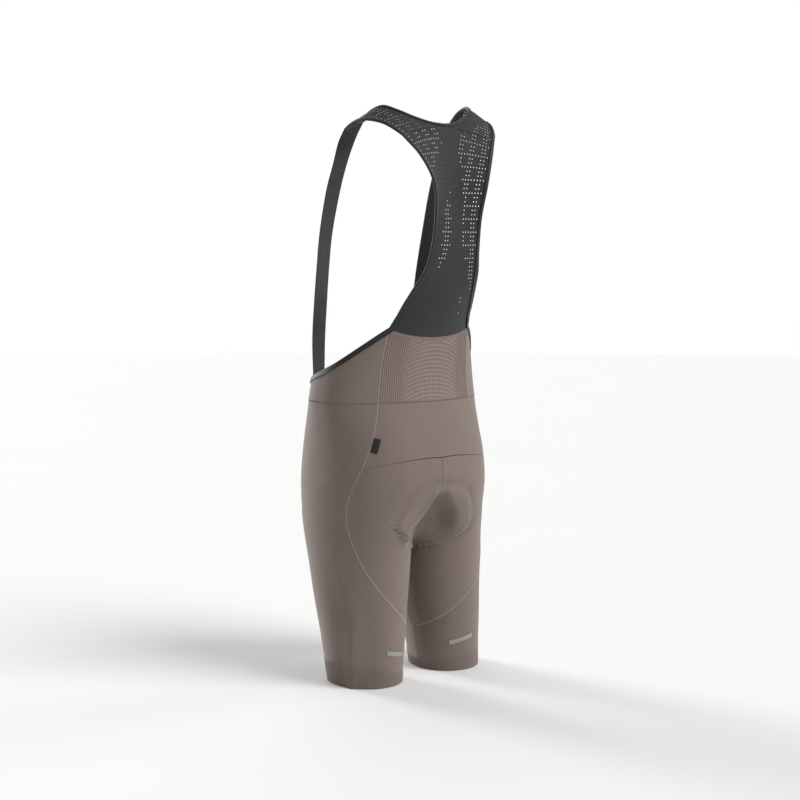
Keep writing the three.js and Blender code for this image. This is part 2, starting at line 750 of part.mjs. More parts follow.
// Flat patch on a body panel between two rows and two angles, moved out from the panel
function patch(name, side, rowRange, angleAt, thick, colour, roughness) {
  const rows = spaced(2, (p) => {
    const row = rowRange[0] + (rowRange[1] - rowRange[0]) * p;
    const [from, to] = angleAt(row);
    return facing(side, spaced(6, (q) => {
      const vertex = bodyVertex(side, row, from + (to - from) * q);
      vertex.point.addScaledVector(vertex.normal, SEAM_GAP + thick);
      return vertex;
    }));
  });
  return clothMesh(name, [rows], thick, colour, roughness);
}

const LABEL = { rows: [406, 425], width: 5.4, thick: 0.8 };
const TAB = { rows: [70, 78], from: 84, to: 119, thick: 0.6 };

function sideLabel() {
  const angleAt = (row) => [sideSeam(1, row) + 0.8, sideSeam(1, row) + 0.8 + LABEL.width];
  return patch('side_label', 1, LABEL.rows, angleAt, LABEL.thick, COLOURS.label, 0.6);
}

function reflectiveTab(side, name) {
  return patch(name, side, TAB.rows, () => [TAB.from, TAB.to], TAB.thick, COLOURS.reflective, 0.4);
}

const garment = new THREE.Group();
for (const [side, word] of [[1, 'left'], [-1, 'right']]) {
  garment.add(legPanel(side, `leg_panel_${word}`));
  garment.add(seatPanel(side, `seat_panel_${word}`));
  garment.add(waistFront(side, `waist_front_${word}`));
  garment.add(frontStrap(side, `strap_${word}`));
  garment.add(armholeBinding(side, `binding_${word}`));
  garment.add(reflectiveTab(side, `reflective_tab_${word}`));
}
garment.add(backYoke(), lumbarPanel(), backMesh(), neckBinding(), sideLabel());
garment.position.z = -CREST_HEIGHT;
garment.updateMatrixWorld(true);

export default garment;
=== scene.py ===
"""Cycling bib shorts, dressed for rendering.

Every cloth piece is a thin sheet on the form of its solid: the same sections, rows and angles as the
solids, on a finer grid, with ribs, seams, the relief of the seat pad and soft creases. Lengths of the
form are millimetres above the leg hems; meshes are metres in the frame of the solids.
"""

import math

import bpy
import numpy as np
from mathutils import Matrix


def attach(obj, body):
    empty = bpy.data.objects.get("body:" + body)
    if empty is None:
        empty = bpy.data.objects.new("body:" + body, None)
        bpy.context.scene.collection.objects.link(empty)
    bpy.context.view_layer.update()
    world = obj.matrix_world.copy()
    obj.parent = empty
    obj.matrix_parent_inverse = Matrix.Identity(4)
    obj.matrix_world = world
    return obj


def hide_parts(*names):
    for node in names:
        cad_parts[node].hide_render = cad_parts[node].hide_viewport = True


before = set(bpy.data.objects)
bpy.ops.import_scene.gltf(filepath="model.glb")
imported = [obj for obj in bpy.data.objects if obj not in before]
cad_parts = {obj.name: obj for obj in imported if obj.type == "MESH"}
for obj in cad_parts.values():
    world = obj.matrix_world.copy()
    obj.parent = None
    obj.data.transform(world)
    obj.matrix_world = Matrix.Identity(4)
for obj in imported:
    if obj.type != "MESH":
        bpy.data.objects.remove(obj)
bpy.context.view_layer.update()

bl_info = {
    "name": "Bib shorts",
    "version": (1, 0, 0),
    "blender": (4, 5, 0),
    "location": "View3D > Sidebar > Bib shorts",
    "description": "Cycling bib shorts of knitted panels with a perforated back and elastic straps",
    "category": "Object",
}

# Driving dimensions, millimetres
MM = 0.001
CREST_HEIGHT = 930
WAIST_SEAM = 460
WALL = 1.2
MESH_WALL = 0.45
ELASTIC_WALL = 1.4
SEAM_GAP = 0.3

# Sewn edges all but touch
HALF_GAP = 0.02

# Rows reach their outer height this far from the middle plane
OUTER_REACH = 165

# Rays to the surface: first coarse step, and the point at which they start in the waist
RAY_STEP = 6
WAIST_AXIS = (60, -5)

# Torso sections: height, half width, front and back of the middle line
TORSO = (
    (242, 140, -106, 100),
    (282, 145, -120, 112),
    (322, 147, -127, 119),
    (362, 149, -128, 117),
    (412, 152, -119, 103),
    (462, 153, -104, 88),
    (510, 145, -100, 88),
    (567, 130, -96, 99),
    (632, 126, -88, 112),
)
TORSO_FULLNESS = 2.35
TORSO_BASE = 345
TORSO_DROP = 118

# Leg sections: height, centre x and y, half width, half depth and outward turn in degrees
LEG = (
    (0, 83, 20, 56, 64, 10),
    (72, 83, 15, 63, 72, 10),
    (132, 82, 8, 69, 81, 8),
    (192, 80, 1, 73, 92, 4),
    (232, 78, -5, 75, 101, 2),
    (272, 76, -9, 77, 109, 0),
    (352, 74, -9, 75, 112, 0),
)
LEG_FULLNESS = 2.1
LEG_TOP = 290
LEG_CLOSE = 170
LEG_BLEND = 12
BODY_BLEND = 24

# Sway of each hem: left x and y, right x and y, and the height from which a leg sways
STANCE = (1, 0, -9, -4)
STANCE_FROM = 212

# Rows of the body: outer height, and height of the inner end from the crotch
CROTCH_ROW = 304
ROWS = (
    (0, -240),
    (132, -128),
    (242, -40),
    (304, 0),
    (324, 3),
    (346, 14),
    (372, 48),
    (402, 108),
    (432, 170),
)

# Side-back seam: row, and angle from the outward direction towards the back
SIDE_SEAM = (
    (94, 196),
    (112, 162),
    (128, 130),
    (148, 101),
    (172, 78.5),
    (204, 60),
    (244, 47),
    (284, 40),
    (320, 40),
    (356, 45),
    (392, 52),
    (424, 58),
    (464, 64),
    (530, 69),
    (592, 77),
)
SEAT_TIP = 107
WAIST_ROW = WAIST_SEAM - HALF_GAP
YOKE_CENTRE = 370
YOKE_DROP = 16
YOKE_REACH = 128
LUMBAR_CENTRE = 566
LUMBAR_SIDE = 580

# Ribbed band of the hem: its top, the length over which its ribs fade out, and how many there are
HEM_TOP = 42
HEM_FADE = 4
HEM_RIBS = 95

# Top edge of the waist front: share of its width from the front, and height
FRONT_EDGE = (
    (0, 486),
    (0.25, 487),
    (0.45, 494),
    (0.7, 520),
    (0.88, 553),
    (1, 580),
)

# Back panel: height, middle line, half width, depth and height of the edges
BACK = (
    (566, 99, 80, 84, 580),
    (602, 112, 74, 103, 612),
    (637, 127, 65, 122, 643),
    (667, 138, 56, 138, 670),
    (701, 148, 50, 146, 702),
    (754, 150, 48, 154, 754),
    (808, 147, 56, 160, 807),
    (855, 138, 74, 150, 848),
    (902, 118, 96, 132, 880),
)
BACK_TOP = BACK[-1][0]

# The wearer's right shoulder stands a little higher
RIGHT_LIFT = 8

# Shoulder: step, inner edge, outer edge and crown between them
SHOULDER = (
    (0, 0, 118, 902, 96, 132, 880, 0),
    (1, 26, 116, 904, 104, 124, 888, 1.5),
    (2, 52, 108, 911, 113, 109, 898, 2),
    (3, 76, 93, 922, 121, 90, 904, 2),
    (4, 88, 72, 929, 126, 66, 906, 2),
    (5, 92, 48, 922, 127, 41, 901, 1),
    (6, 93, 30, 908, 126, 20, 891, 0),
)
SHOULDER_END = SHOULDER[-1][0]

# Front strap: height, inner edge x and y, outer edge x and y, drop of the outer edge
STRAP = (
    (500, 80, -93, 116, -75, 0),
    (558, 86, -83, 122, -69, 0),
    (622, 93, -68, 129, -54, 0),
    (672, 95, -60, 131, -45, 0),
    (731, 97, -48, 132, -35, 0),
    (800, 96, -28, 131, -18, 1),
    (847, 95, -9, 129, -2, 5),
    (884, 94, 12, 127, 8, 11),
    (907.2, 93, 29.3, 126, 19.2, 17),
)
STRAP_START = STRAP[0][0]
STRAP_END = STRAP[-1][0]

# Foot of a front strap on the waist front: height, and how far it is pulled outward
STRAP_FOOT = ((463, 4), (473, 2), (483, 1), (491, 0))

# Outline of the seat pad, seen from behind: angle from upright round its middle, and reach
PAD_MIDDLE = 268
PAD = (
    (0, 57),
    (20, 59),
    (40, 65),
    (62, 72),
    (97, 78),
    (114, 68),
    (129, 59),
    (157, 52),
    (180, 45),
)

# Forward end of the pad in front of the crotch, and height and width of the welt along its lower edge
PAD_FRONT = 52
WELT_HEIGHT = 1.5
WELT_WIDTH = 2.4

# Puckers of the cloth round the pad: how many, depth, reach outside its outline and width
PUCKERS = 78
PUCKER_DEPTH = 1.9
PUCKER_REACH = 6
PUCKER_WIDTH = 5

# Fold between the halves of the seat: height, reach to the left and to the right, and depth
CLEFT = (
    (224, 56, 50, 0),
    (238, 59, 52, 6),
    (246, 59, 53, 12),
    (256, 53, 53, 16),
    (266, 41, 52, 18),
    (276, 32, 49, 18.5),
    (286, 25, 41, 18),
    (297, 19, 31, 15),
    (305, 16, 23, 9),
    (312, 13, 17, 3),
    (318, 11, 13, 0),
)

# Its wall on the left and on the right, and height and width of its lips
CLEFT_WALL = 10
CLEFT_SOFT_WALL = 30
CLEFT_LIPS = ((6.0, 10), (0.8, 12))

# Folded binding: thickness, clearance over the cloth, reach over the waist, the back and the neck, and
# share of its width on each side of its fold
TAPE = 0.8
TAPE_CLEAR = 0.8
TAPE_REACH = (7, 4, 3.5)
TAPE_SIDE = 0.32

# Front straps lie over the binding of the waist front
STRAP_LIFT = TAPE_CLEAR + TAPE + 2 * SEAM_GAP + ELASTIC_WALL


def profile(table, column, at):
    """Smooth curve through one column of a table, held at its ends"""
    rows = np.array(table, float)
    place, value = rows[:, 0], rows[:, column]
    count = len(place)
    at = np.clip(at, place[0], place[-1])
    i = np.clip(np.searchsorted(place, at, side="left") - 1, 0, count - 2)
    before = np.maximum(np.arange(count) - 1, 0)
    after = np.minimum(np.arange(count) + 1, count - 1)
    slope = (value[after] - value[before]) / (place[after] - place[before])
    h = place[i + 1] - place[i]
    t = (at - place[i]) / h
    start = (2 * t**3 - 3 * t**2 + 1) * value[i] + (t**3 - 2 * t**2 + t) * h * slope[i]
    end = (3 * t**2 - 2 * t**3) * value[i + 1] + (t**3 - t**2) * h * slope[i + 1]
    return start + end


def ramp(start, end, value):
    """Smooth step from 0 at start to 1 at end"""
    t = np.clip((value - start) / (end - start), 0, 1)
    return t * t * (3 - 2 * t)


def blend(a, b, width):
    """Smaller of two fields, rounded where they meet"""
    h = np.maximum(width - np.abs(a - b), 0) / width
    return np.minimum(a, b) - h * h * width / 4


def torso_field(x, y, z):
    """About the distance from the surface of the torso, which closes below into the legs"""
    front, back = profile(TORSO, 2, z), profile(TORSO, 3, z)
    centre, depth = (front + back) / 2, (back - front) / 2
    width = profile(TORSO, 1, z)
    under = np.maximum(TORSO_BASE - z, 0) / TORSO_DROP
    total = np.abs(x / width) ** TORSO_FULLNESS + np.abs((y - centre) / depth) ** TORSO_FULLNESS
    total = total + under**TORSO_FULLNESS
    return (total ** (1 / TORSO_FULLNESS) - 1) * np.minimum(width, depth)


def sway(side, height):
    """Outward and backward sway of a lower leg at a height"""
    amount = ramp(STANCE_FROM, 0, height)
    left = np.asarray(side) > 0
    return np.where(left, STANCE[0], STANCE[2]) * amount, np.where(left, STANCE[1], STANCE[3]) * amount


def leg_field(side, x, y, z):
    """About the distance from the surface of one leg, which closes above into the torso"""
    sway_x, sway_y = sway(side, z)
    dx = x - side * profile(LEG, 1, z) - sway_x
    dy = y - profile(LEG, 2, z) - sway_y
    turn = side * np.radians(profile(LEG, 5, z))
    width = profile(LEG, 3, z)
    across = (dx * np.cos(turn) + dy * np.sin(turn)) / width
    along = (dy * np.cos(turn) - dx * np.sin(turn)) / profile(LEG, 4, z)
    over = np.maximum(z - LEG_TOP, 0) / LEG_CLOSE
    total = np.abs(across) ** LEG_FULLNESS + np.abs(along) ** LEG_FULLNESS + over**LEG_FULLNESS
    return (total ** (1 / LEG_FULLNESS) - 1) * width


def garment_field(x, y, z):
    """About the distance from the garment's outer surface, below zero inside"""
    legs = blend(leg_field(1, x, y, z), leg_field(-1, x, y, z), LEG_BLEND)
    return blend(legs, torso_field(x, y, z), BODY_BLEND)


def find_crotch():
    """Lowest point of the garment on the middle plane"""
    y = np.arange(-30.0, 61.0, 2.0)
    low, high = np.full_like(y, 120.0), np.full_like(y, 320.0)
    for _ in range(16):
        z = (low + high) / 2
        inside = garment_field(0 * y, y, z) < 0
        high = np.where(inside, z, high)
        low = np.where(inside, low, z)
    best = int(np.argmin(high))
    return y[best], high[best]


CROTCH_Y, CROTCH_Z = find_crotch()


def row_rise(row):
    """Height of a row at its inner end"""
    last_row, last_rise = ROWS[-1]
    lower = np.maximum(0, CROTCH_Z + profile(ROWS, 1, row))
    start = CROTCH_Z + last_rise
    upper = start + (WAIST_SEAM - start) * (row - last_row) / (WAIST_SEAM - last_row)
    rise = np.where(row <= last_row, lower, upper)
    return np.where((row >= WAIST_SEAM) | (row <= 0), row, rise)


def row_height(row, x):
    """Height of a row at a distance from the middle plane"""
    inner = row_rise(row)
    return inner + (row - inner) * np.minimum(np.abs(x) / OUTER_REACH, 1)


def row_axis(side, row):
    """Point that the rays of a row start from"""
    sway_x, sway_y = sway(side, row)
    lift = ramp(CROTCH_ROW - 40, WAIST_SEAM, row)
    axis_x, axis_y = WAIST_AXIS
    x = side * (profile(LEG, 1, row) * (1 - lift) + axis_x * lift) + sway_x
    y = profile(LEG, 2, row) * (1 - lift) + (CROTCH_Y * (1 - lift) + axis_y * lift) * lift + sway_y
    return x, y


def ray_point(side, row, degrees):
    """First crossing of the outer surface along rays of rows"""
    side, row, degrees = np.broadcast_arrays(
        np.asarray(side, float), np.asarray(row, float), np.asarray(degrees, float)
    )
    axis_x, axis_y = row_axis(side, row)
    turn = np.radians(degrees)

    def at(reach):
        x = axis_x + side * reach * np.cos(turn)
        return x, axis_y + reach * np.sin(turn), row_height(row, x)

    far = np.full(row.shape, 20.0)
    for _ in range(40):
        inside = (garment_field(*at(far)) < 0) & (far < 260)
        if not inside.any():
            break
        far = np.where(inside, far + RAY_STEP, far)
    near = far - RAY_STEP
    for _ in range(14):
        mid = (near + far) / 2
        inside = garment_field(*at(mid)) < 0
        near = np.where(inside, mid, near)
        far = np.where(inside, far, mid)
    return np.stack(at(far), -1)


row_end_tables = {}


def row_end(row, back, gap):
    """Angle at which rows end: on the middle plane above the crotch, at the inseam below it"""
    if (back, gap) not in row_end_tables:
        rows = CROTCH_ROW + (640 - CROTCH_ROW) * np.linspace(0, 1, 260) ** 2
        shut, wide = np.full_like(rows, 180.0), np.full_like(rows, 70.0)
        for _ in range(18):
            mid = (shut + wide) / 2
            clear = ray_point(1, rows, back * mid)[..., 0] > gap
            wide = np.where(clear, mid, wide)
            shut = np.where(clear, shut, mid)
        row_end_tables[back, gap] = (rows, wide)
    rows, angles = row_end_tables[back, gap]
    return back * np.where(row < CROTCH_ROW, 180 - gap * 0.9, np.interp(row, rows, angles))


def side_seam(row):
    """Angle of the side-back seam, which joins the inseam at its lower end"""
    return np.minimum(profile(SIDE_SEAM, 1, row), row_end(row, 1, HALF_GAP))


def seam_shift(gap):
    """Angle that opens a gap in millimetres at the distance of the seams"""
    return gap * 0.95


def front_angle(row, t):
    """Angle in the front panels, from the centre front or the inseam (0) to the side-back seam (1)"""
    start = row_end(row, -1, HALF_GAP)
    return start + (side_seam(row) - seam_shift(HALF_GAP) - start) * t


def back_angle(row, q):
    """Angle in the panels across the back, from the centre back (0) to the side-back seam (1)"""
    start = row_end(row, 1, 0)
    return start + (side_seam(row) + seam_shift(HALF_GAP) - start) * q


def field_normal(point):
    """Outward direction of the form"""
    x, y, z = point[..., 0], point[..., 1], point[..., 2]
    e = 0.5
    normal = np.stack(
        [
            garment_field(x + e, y, z) - garment_field(x - e, y, z),
            garment_field(x, y + e, z) - garment_field(x, y - e, z),
            garment_field(x, y, z + e) - garment_field(x, y, z - e),
        ],
        -1,
    )
    return unit(normal)


def unit(vectors):
    """Directions of vectors, of length 1"""
    return vectors / np.maximum(np.linalg.norm(vectors, axis=-1, keepdims=True), 1e-9)


def yoke_row(t):
    """Row whose height is that of the yoke seam, from the centre back (0) to the side-back seam (1)"""
    t = np.asarray(t, float)
    height = YOKE_CENTRE - YOKE_DROP * t * t
    low, high = np.full(t.shape, float(CROTCH_ROW)), np.full(t.shape, float(WAIST_SEAM))
    for _ in range(16):
        mid = (low + high) / 2
        below = row_height(mid, YOKE_REACH * t) < height
        low = np.where(below, mid, low)
        high = np.where(below, high, mid)
    return high


def lumbar_top(q):
    """Row of the lumbar panel's top edge, from the centre back (0) to its side (1)"""
    return LUMBAR_CENTRE + (LUMBAR_SIDE - LUMBAR_CENTRE) * q**2


def pad_inside(point):
    """Distance inside the outline of the seat pad, below zero outside it, and the angle round it"""
    x, z = point[..., 0], point[..., 2] - PAD_MIDDLE
    angle = np.degrees(np.arctan2(np.abs(x), z))
    return profile(PAD, 1, angle) - np.hypot(x, z), angle


def pad_relief(point, height):
    """Raised ground of the pad, the welt along its lower edge and the puckers round it"""
    inside, angle = pad_inside(point)
    welt = WELT_HEIGHT * ramp(100, 120, angle) * np.exp(-((inside / WELT_WIDTH) ** 2))
    front = CROTCH_Y - PAD_FRONT
    behind = ramp(front, front + 25, point[..., 1])
    return (height * ramp(-3, 7, inside) + welt) * behind - PUCKER_DEPTH * pucker(point)


def pucker(point):
    """Share of a pucker's depth, from 0 between puckers to 1"""
    inside, angle = pad_inside(point)
    turn = np.radians(angle)
    side = np.where(point[..., 0] > 0, 0.9, 0)
    wave = 0.5 + 0.5 * np.cos(PUCKERS * turn + 1.3 * np.sin(5 * turn + side))
    uneven = 0.65 + 0.35 * np.sin(7 * turn + 2 * side)
    behind = ramp(CROTCH_Y - 10, CROTCH_Y + 20, point[..., 1])
    return wave * uneven * behind * np.exp(-(((inside + PUCKER_REACH) / PUCKER_WIDTH) ** 2))


def cleft_relief(point):
    """Deep fold between the halves of the seat, wider towards the crotch, between two soft lips"""
    x, y, z = np.abs(point[..., 0]), point[..., 1], point[..., 2]
    left = point[..., 0] > 0
    half = np.where(left, profile(CLEFT, 1, z), profile(CLEFT, 2, z))
    depth = profile(CLEFT, 3, z)
    wall = np.minimum(np.where(left, CLEFT_WALL, CLEFT_SOFT_WALL), 0.8 * half)
    floor = depth * ramp(half, half - wall, x)
    (left_height, left_width), (right_height, right_width) = CLEFT_LIPS
    growth = 0.3 + 0.7 * ramp(300, 255, z)
    width = np.where(left, left_width, right_width) * growth
    height = np.where(left, left_height, right_height) * growth * np.minimum(depth / 9, 1)
    lip = height * np.exp(-(((x - half - 0.4 * width) / width) ** 2))
    return (lip - floor) * ramp(CROTCH_Y, CROTCH_Y + 50, y)


def lengths(points, axis):
    """Lengths along one direction of a grid of points, from its first row or column"""
    steps = np.linalg.norm(np.diff(points, axis=axis), axis=-1)
    start = np.zeros_like(np.take(steps, [0], axis=axis))
    return np.concatenate([start, np.cumsum(steps, axis=axis)], axis=axis)


def edge_distance(points, edges):
    """Distance along the cloth to the nearest of the named edges"""
    across, up = lengths(points, 1), lengths(points, 0)
    parts = {
        "left": across,
        "right": across[:, -1:] - across,
        "bottom": up,
        "top": up[-1:] - up,
    }
    return np.min([parts[edge] for edge in edges], axis=0)


def seam_roll(distance, depth=0.12):
    """Cloth turned in at a seam, with a soft roll beside it"""
    return 0.3 * np.exp(-(((distance - 4) / 2) ** 2)) - depth * np.exp(-((distance / 1.1) ** 2))


# Soft folds: height at the start and at the end in millimetres, width, and points of the line
FOLDS = (
    (0.5, 3.8, 11, ((151, 20, 235), (148, 34, 180), (143, 49, 140), (139, 54, 100), (135, 50, 0))),
    (-0.2, -2.2, 13, ((140, 66, 235), (132, 80, 160), (126, 84, 90), (120, 78, 20))),
    (0.3, 2.8, 12, ((-152, 8, 240), (-152, 22, 190), (-149, 38, 140), (-146, 40, 80), (-142, 38, 10))),
    (-0.2, -1.8, 13, ((-138, 58, 230), (-134, 70, 170), (-132, 70, 100), (-128, 62, 30))),
    (-0.2, -1.5, 9, ((104, -106, 244), (70, -118, 262), (34, -112, 262))),
    (-0.2, -1.2, 8, ((-108, -104, 256), (-74, -118, 272), (-38, -112, 266))),
    (-0.1, -1.1, 7, ((116, -92, 216), (84, -112, 230), (50, -108, 238))),
    (-0.1, -1.3, 7, ((-112, -94, 208), (-80, -110, 224), (-46, -106, 234))),
    (0.2, 1.2, 10, ((146, -40, 300), (150, 4, 330), (146, 46, 352))),
    (0.2, 1.0, 10, ((-146, -36, 312), (-150, 2, 336), (-144, 44, 362))),
    (-0.2, -1.0, 9, ((128, -70, 446), (141, -36, 436), (147, 0, 430))),
    (-0.9, -0.2, 9, ((-126, -72, 440), (-141, -34, 430), (-146, 4, 424))),
)


def fold_relief(point):
    """Soft troughs and ridges of the worn cloth"""
    height = np.zeros(point.shape[:-1])
    for first, last, width, line in FOLDS:
        line = np.array(line, float)
        reach = np.linalg.norm(np.diff(line, axis=0), axis=-1)
        passed = np.concatenate([[0], np.cumsum(reach)]) / reach.sum()
        nearest, share = np.full(height.shape, 1e9), np.zeros(height.shape)
        for k, (start, end) in enumerate(zip(line[:-1], line[1:])):
            along = end - start
            t = np.clip(((point - start) @ along) / (along @ along), 0, 1)
            away = np.linalg.norm(point - start - t[..., None] * along, axis=-1)
            share = np.where(away < nearest, passed[k] + (passed[k + 1] - passed[k]) * t, share)
            nearest = np.minimum(nearest, away)
        amount = first + (last - first) * ramp(0, 0.8, share)
        height += amount * np.exp(-((nearest / width) ** 2))
    return height


def relief(form):
    """Height of the worn cloth over its form"""
    pad_height = bpy.context.scene.bib_sizes.pad / MM
    return pad_relief(form, pad_height) + cleft_relief(form) + fold_relief(form)


EDGES = ("left", "right", "top", "bottom")


def body_sheet(side, row, angle, edges=EDGES, raised=0.0, groove_shade=None):
    """Points of a cloth panel of the body, with the distance of each to the nearest seam and the painted
    shade of its furrows
    """
    form = ray_point(side, row, angle)
    distance = edge_distance(form, edges)
    height = relief(form) + seam_roll(distance) + raised
    # The groove mark is painted shade: in the troughs of the puckers round the pad, unless a panel gives its
    # own
    marks = {"seam": distance, "groove_shade": 0.4 * pucker(form) if groove_shade is None else groove_shade}
    return form + field_normal(form) * height[..., None], marks


def back_point(side, s, q):
    """Points of the back panel at a height s and a share q of the way to its edge"""
    x = profile(BACK, 2, s) * q
    y = profile(BACK, 1, s) * (1 - q * q) + profile(BACK, 3, s) * q * q
    z = s + (profile(BACK, 4, s) - s) * q * q
    return np.stack([side * x, y, z], -1)


def shoulder_point(side, s, q):
    """Points over the shoulder at a step s, from the neck's edge to the armhole's edge"""
    crown = profile(SHOULDER, 7, s) * 4 * q * (1 - q)
    x, y, z = (profile(SHOULDER, k, s) * (1 - q) + profile(SHOULDER, k + 3, s) * q for k in (1, 2, 3))
    lift = np.where(np.asarray(side) < 0, RIGHT_LIFT, 0) * ramp(0, 3, s)
    return np.stack([side * x, y + 0.5 * crown, z + crown + lift], -1)


def shoulder_normal(side, s, q):
    """Outward direction over the shoulder"""
    step = 0.02
    along = shoulder_point(side, s, q) - shoulder_point(side, s - step, q)
    across = shoulder_point(side, s, q + step) - shoulder_point(side, s, q - step)
    normal = unit(np.cross(along, across))
    return normal * np.sign(normal[..., 2:])


def strap_point(side, s, q):
    """Points of a front strap's free length at a height s, from its inner edge to its outer edge"""
    x = profile(STRAP, 1, s) * (1 - q) + profile(STRAP, 3, s) * q
    y = profile(STRAP, 2, s) * (1 - q) + profile(STRAP, 4, s) * q
    lift = (RIGHT_LIFT if side < 0 else 0) * ramp(700, STRAP_END, s)
    return np.stack([side * x, y, s - profile(STRAP, 5, s) * q + lift], -1)


def front_point(side, x, z, lift):
    """Points in front of the body, moved out over the cloth beneath"""
    near, far = np.full(np.shape(x), -20.0), np.full(np.shape(x), -160.0)
    for _ in range(16):
        mid = (near + far) / 2
        inside = garment_field(side * x, mid, z) < 0
        near = np.where(inside, mid, near)
        far = np.where(inside, far, mid)
    point = np.stack([side * x, far, z], -1)
    return point + field_normal(point) * lift


def hex_colour(code):
    """Linear colour of an sRGB hex value"""
    parts = [int(code[k : k + 2], 16) / 255 for k in (1, 3, 5)]
    return [v / 12.92 if v <= 0.04045 else ((v + 0.055) / 1.055) ** 2.4 for v in parts]


def length_property(name, description, size):
    return bpy.props.FloatProperty(name=name, description=description, default=size * MM, unit="LENGTH")


class BibShortsSizes(bpy.types.PropertyGroup):
    """Sizes that a user would change"""

    wall: length_property("Cloth thickness", "Thickness of the knitted panels", WALL)
    elastic_wall: length_property("Strap thickness", "Thickness of the elastic front straps", ELASTIC_WALL)
    hem_rib: length_property("Hem rib height", "Height of the ribs of the leg bands", 0.8)
    lumbar_rib: length_property("Lumbar rib height", "Height of the ribs of the lumbar panel", 1.0)
    mesh_wall: length_property("Mesh thickness", "Thickness of the perforated back panel", MESH_WALL)
    hole: length_property("Hole diameter", "Diameter of the perforations of the back panel", 2.0)
    pad: length_property("Pad relief", "How far the seat pad raises the cloth", 1.8)


def colour_property(name, description, code):
    return bpy.props.FloatVectorProperty(
        name=name, description=description, default=hex_colour(code), subtype="COLOR", min=0, max=1
    )


class BibShortsColours(bpy.types.PropertyGroup):
    """Colours that a user would change"""

    taupe: colour_property("Taupe", "Knitted cloth of the shorts", "#7f726a")
    rib: colour_property("Rib", "Ribbed lumbar panel", "#918279")
    mesh: colour_property("Back mesh", "Perforated back panel", "#313133")
    elastic: colour_property("Elastic", "Front straps", "#121213")
    binding: colour_property("Binding", "Edge binding", "#17181a")
    label: colour_property("Label", "Blank side label", "#1b1c1e")
    reflective: colour_property("Reflective", "Reflective tabs", "#9d9e97")
    thread: colour_property("Thread", "Seam stitching of the shorts", "#b0a398")
    floor: colour_property("Floor", "Studio floor", "#f4f4f3")


# Share by which the mixed yarns of a knit lighten and darken it
MELANGE = 0.06


def add_node(tree, kind, inputs=None, **settings):
    """Adds a shader node with its settings, values and links"""
    made = tree.nodes.new(kind)
    for name, value in settings.items():
        setattr(made, name, value)
    for key, value in (inputs or {}).items():
        if isinstance(value, bpy.types.NodeSocket):
            tree.links.new(value, made.inputs[key])
        else:
            made.inputs[key].default_value = value
    return made


def start_material(name, values):
    """New material with its node tree and its surface shader, which takes its uniform values"""
    material = bpy.data.materials.new(name)
    material.use_nodes = True
    tree = material.node_tree
    shader = tree.nodes["Principled BSDF"]
    for key, value in values.items():
        shader.inputs[key].default_value = value
    return material, tree, shader


def colour_surface(tree, shader, colour, shade):
    """Gives a surface its colour, lightened and darkened by its shade"""
    base = add_node(tree, "ShaderNodeVectorMath", {0: colour[:3], "Scale": shade}, operation="SCALE")
    tree.links.new(base.outputs[0], shader.inputs["Base Color"])


def raise_surface(tree, shader, height, strength, depth):
    """Gives a surface its fine relief, with a depth in millimetres"""
    bump = add_node(tree, "ShaderNodeBump", {"Height": height, "Strength": strength, "Distance": depth * MM})
    tree.links.new(bump.outputs["Normal"], shader.inputs["Normal"])


def band_scale(pitch):
    """Scale of a wave texture whose bands lie one pitch in millimetres apart"""
    return 2 * math.pi / (20 * pitch * MM)


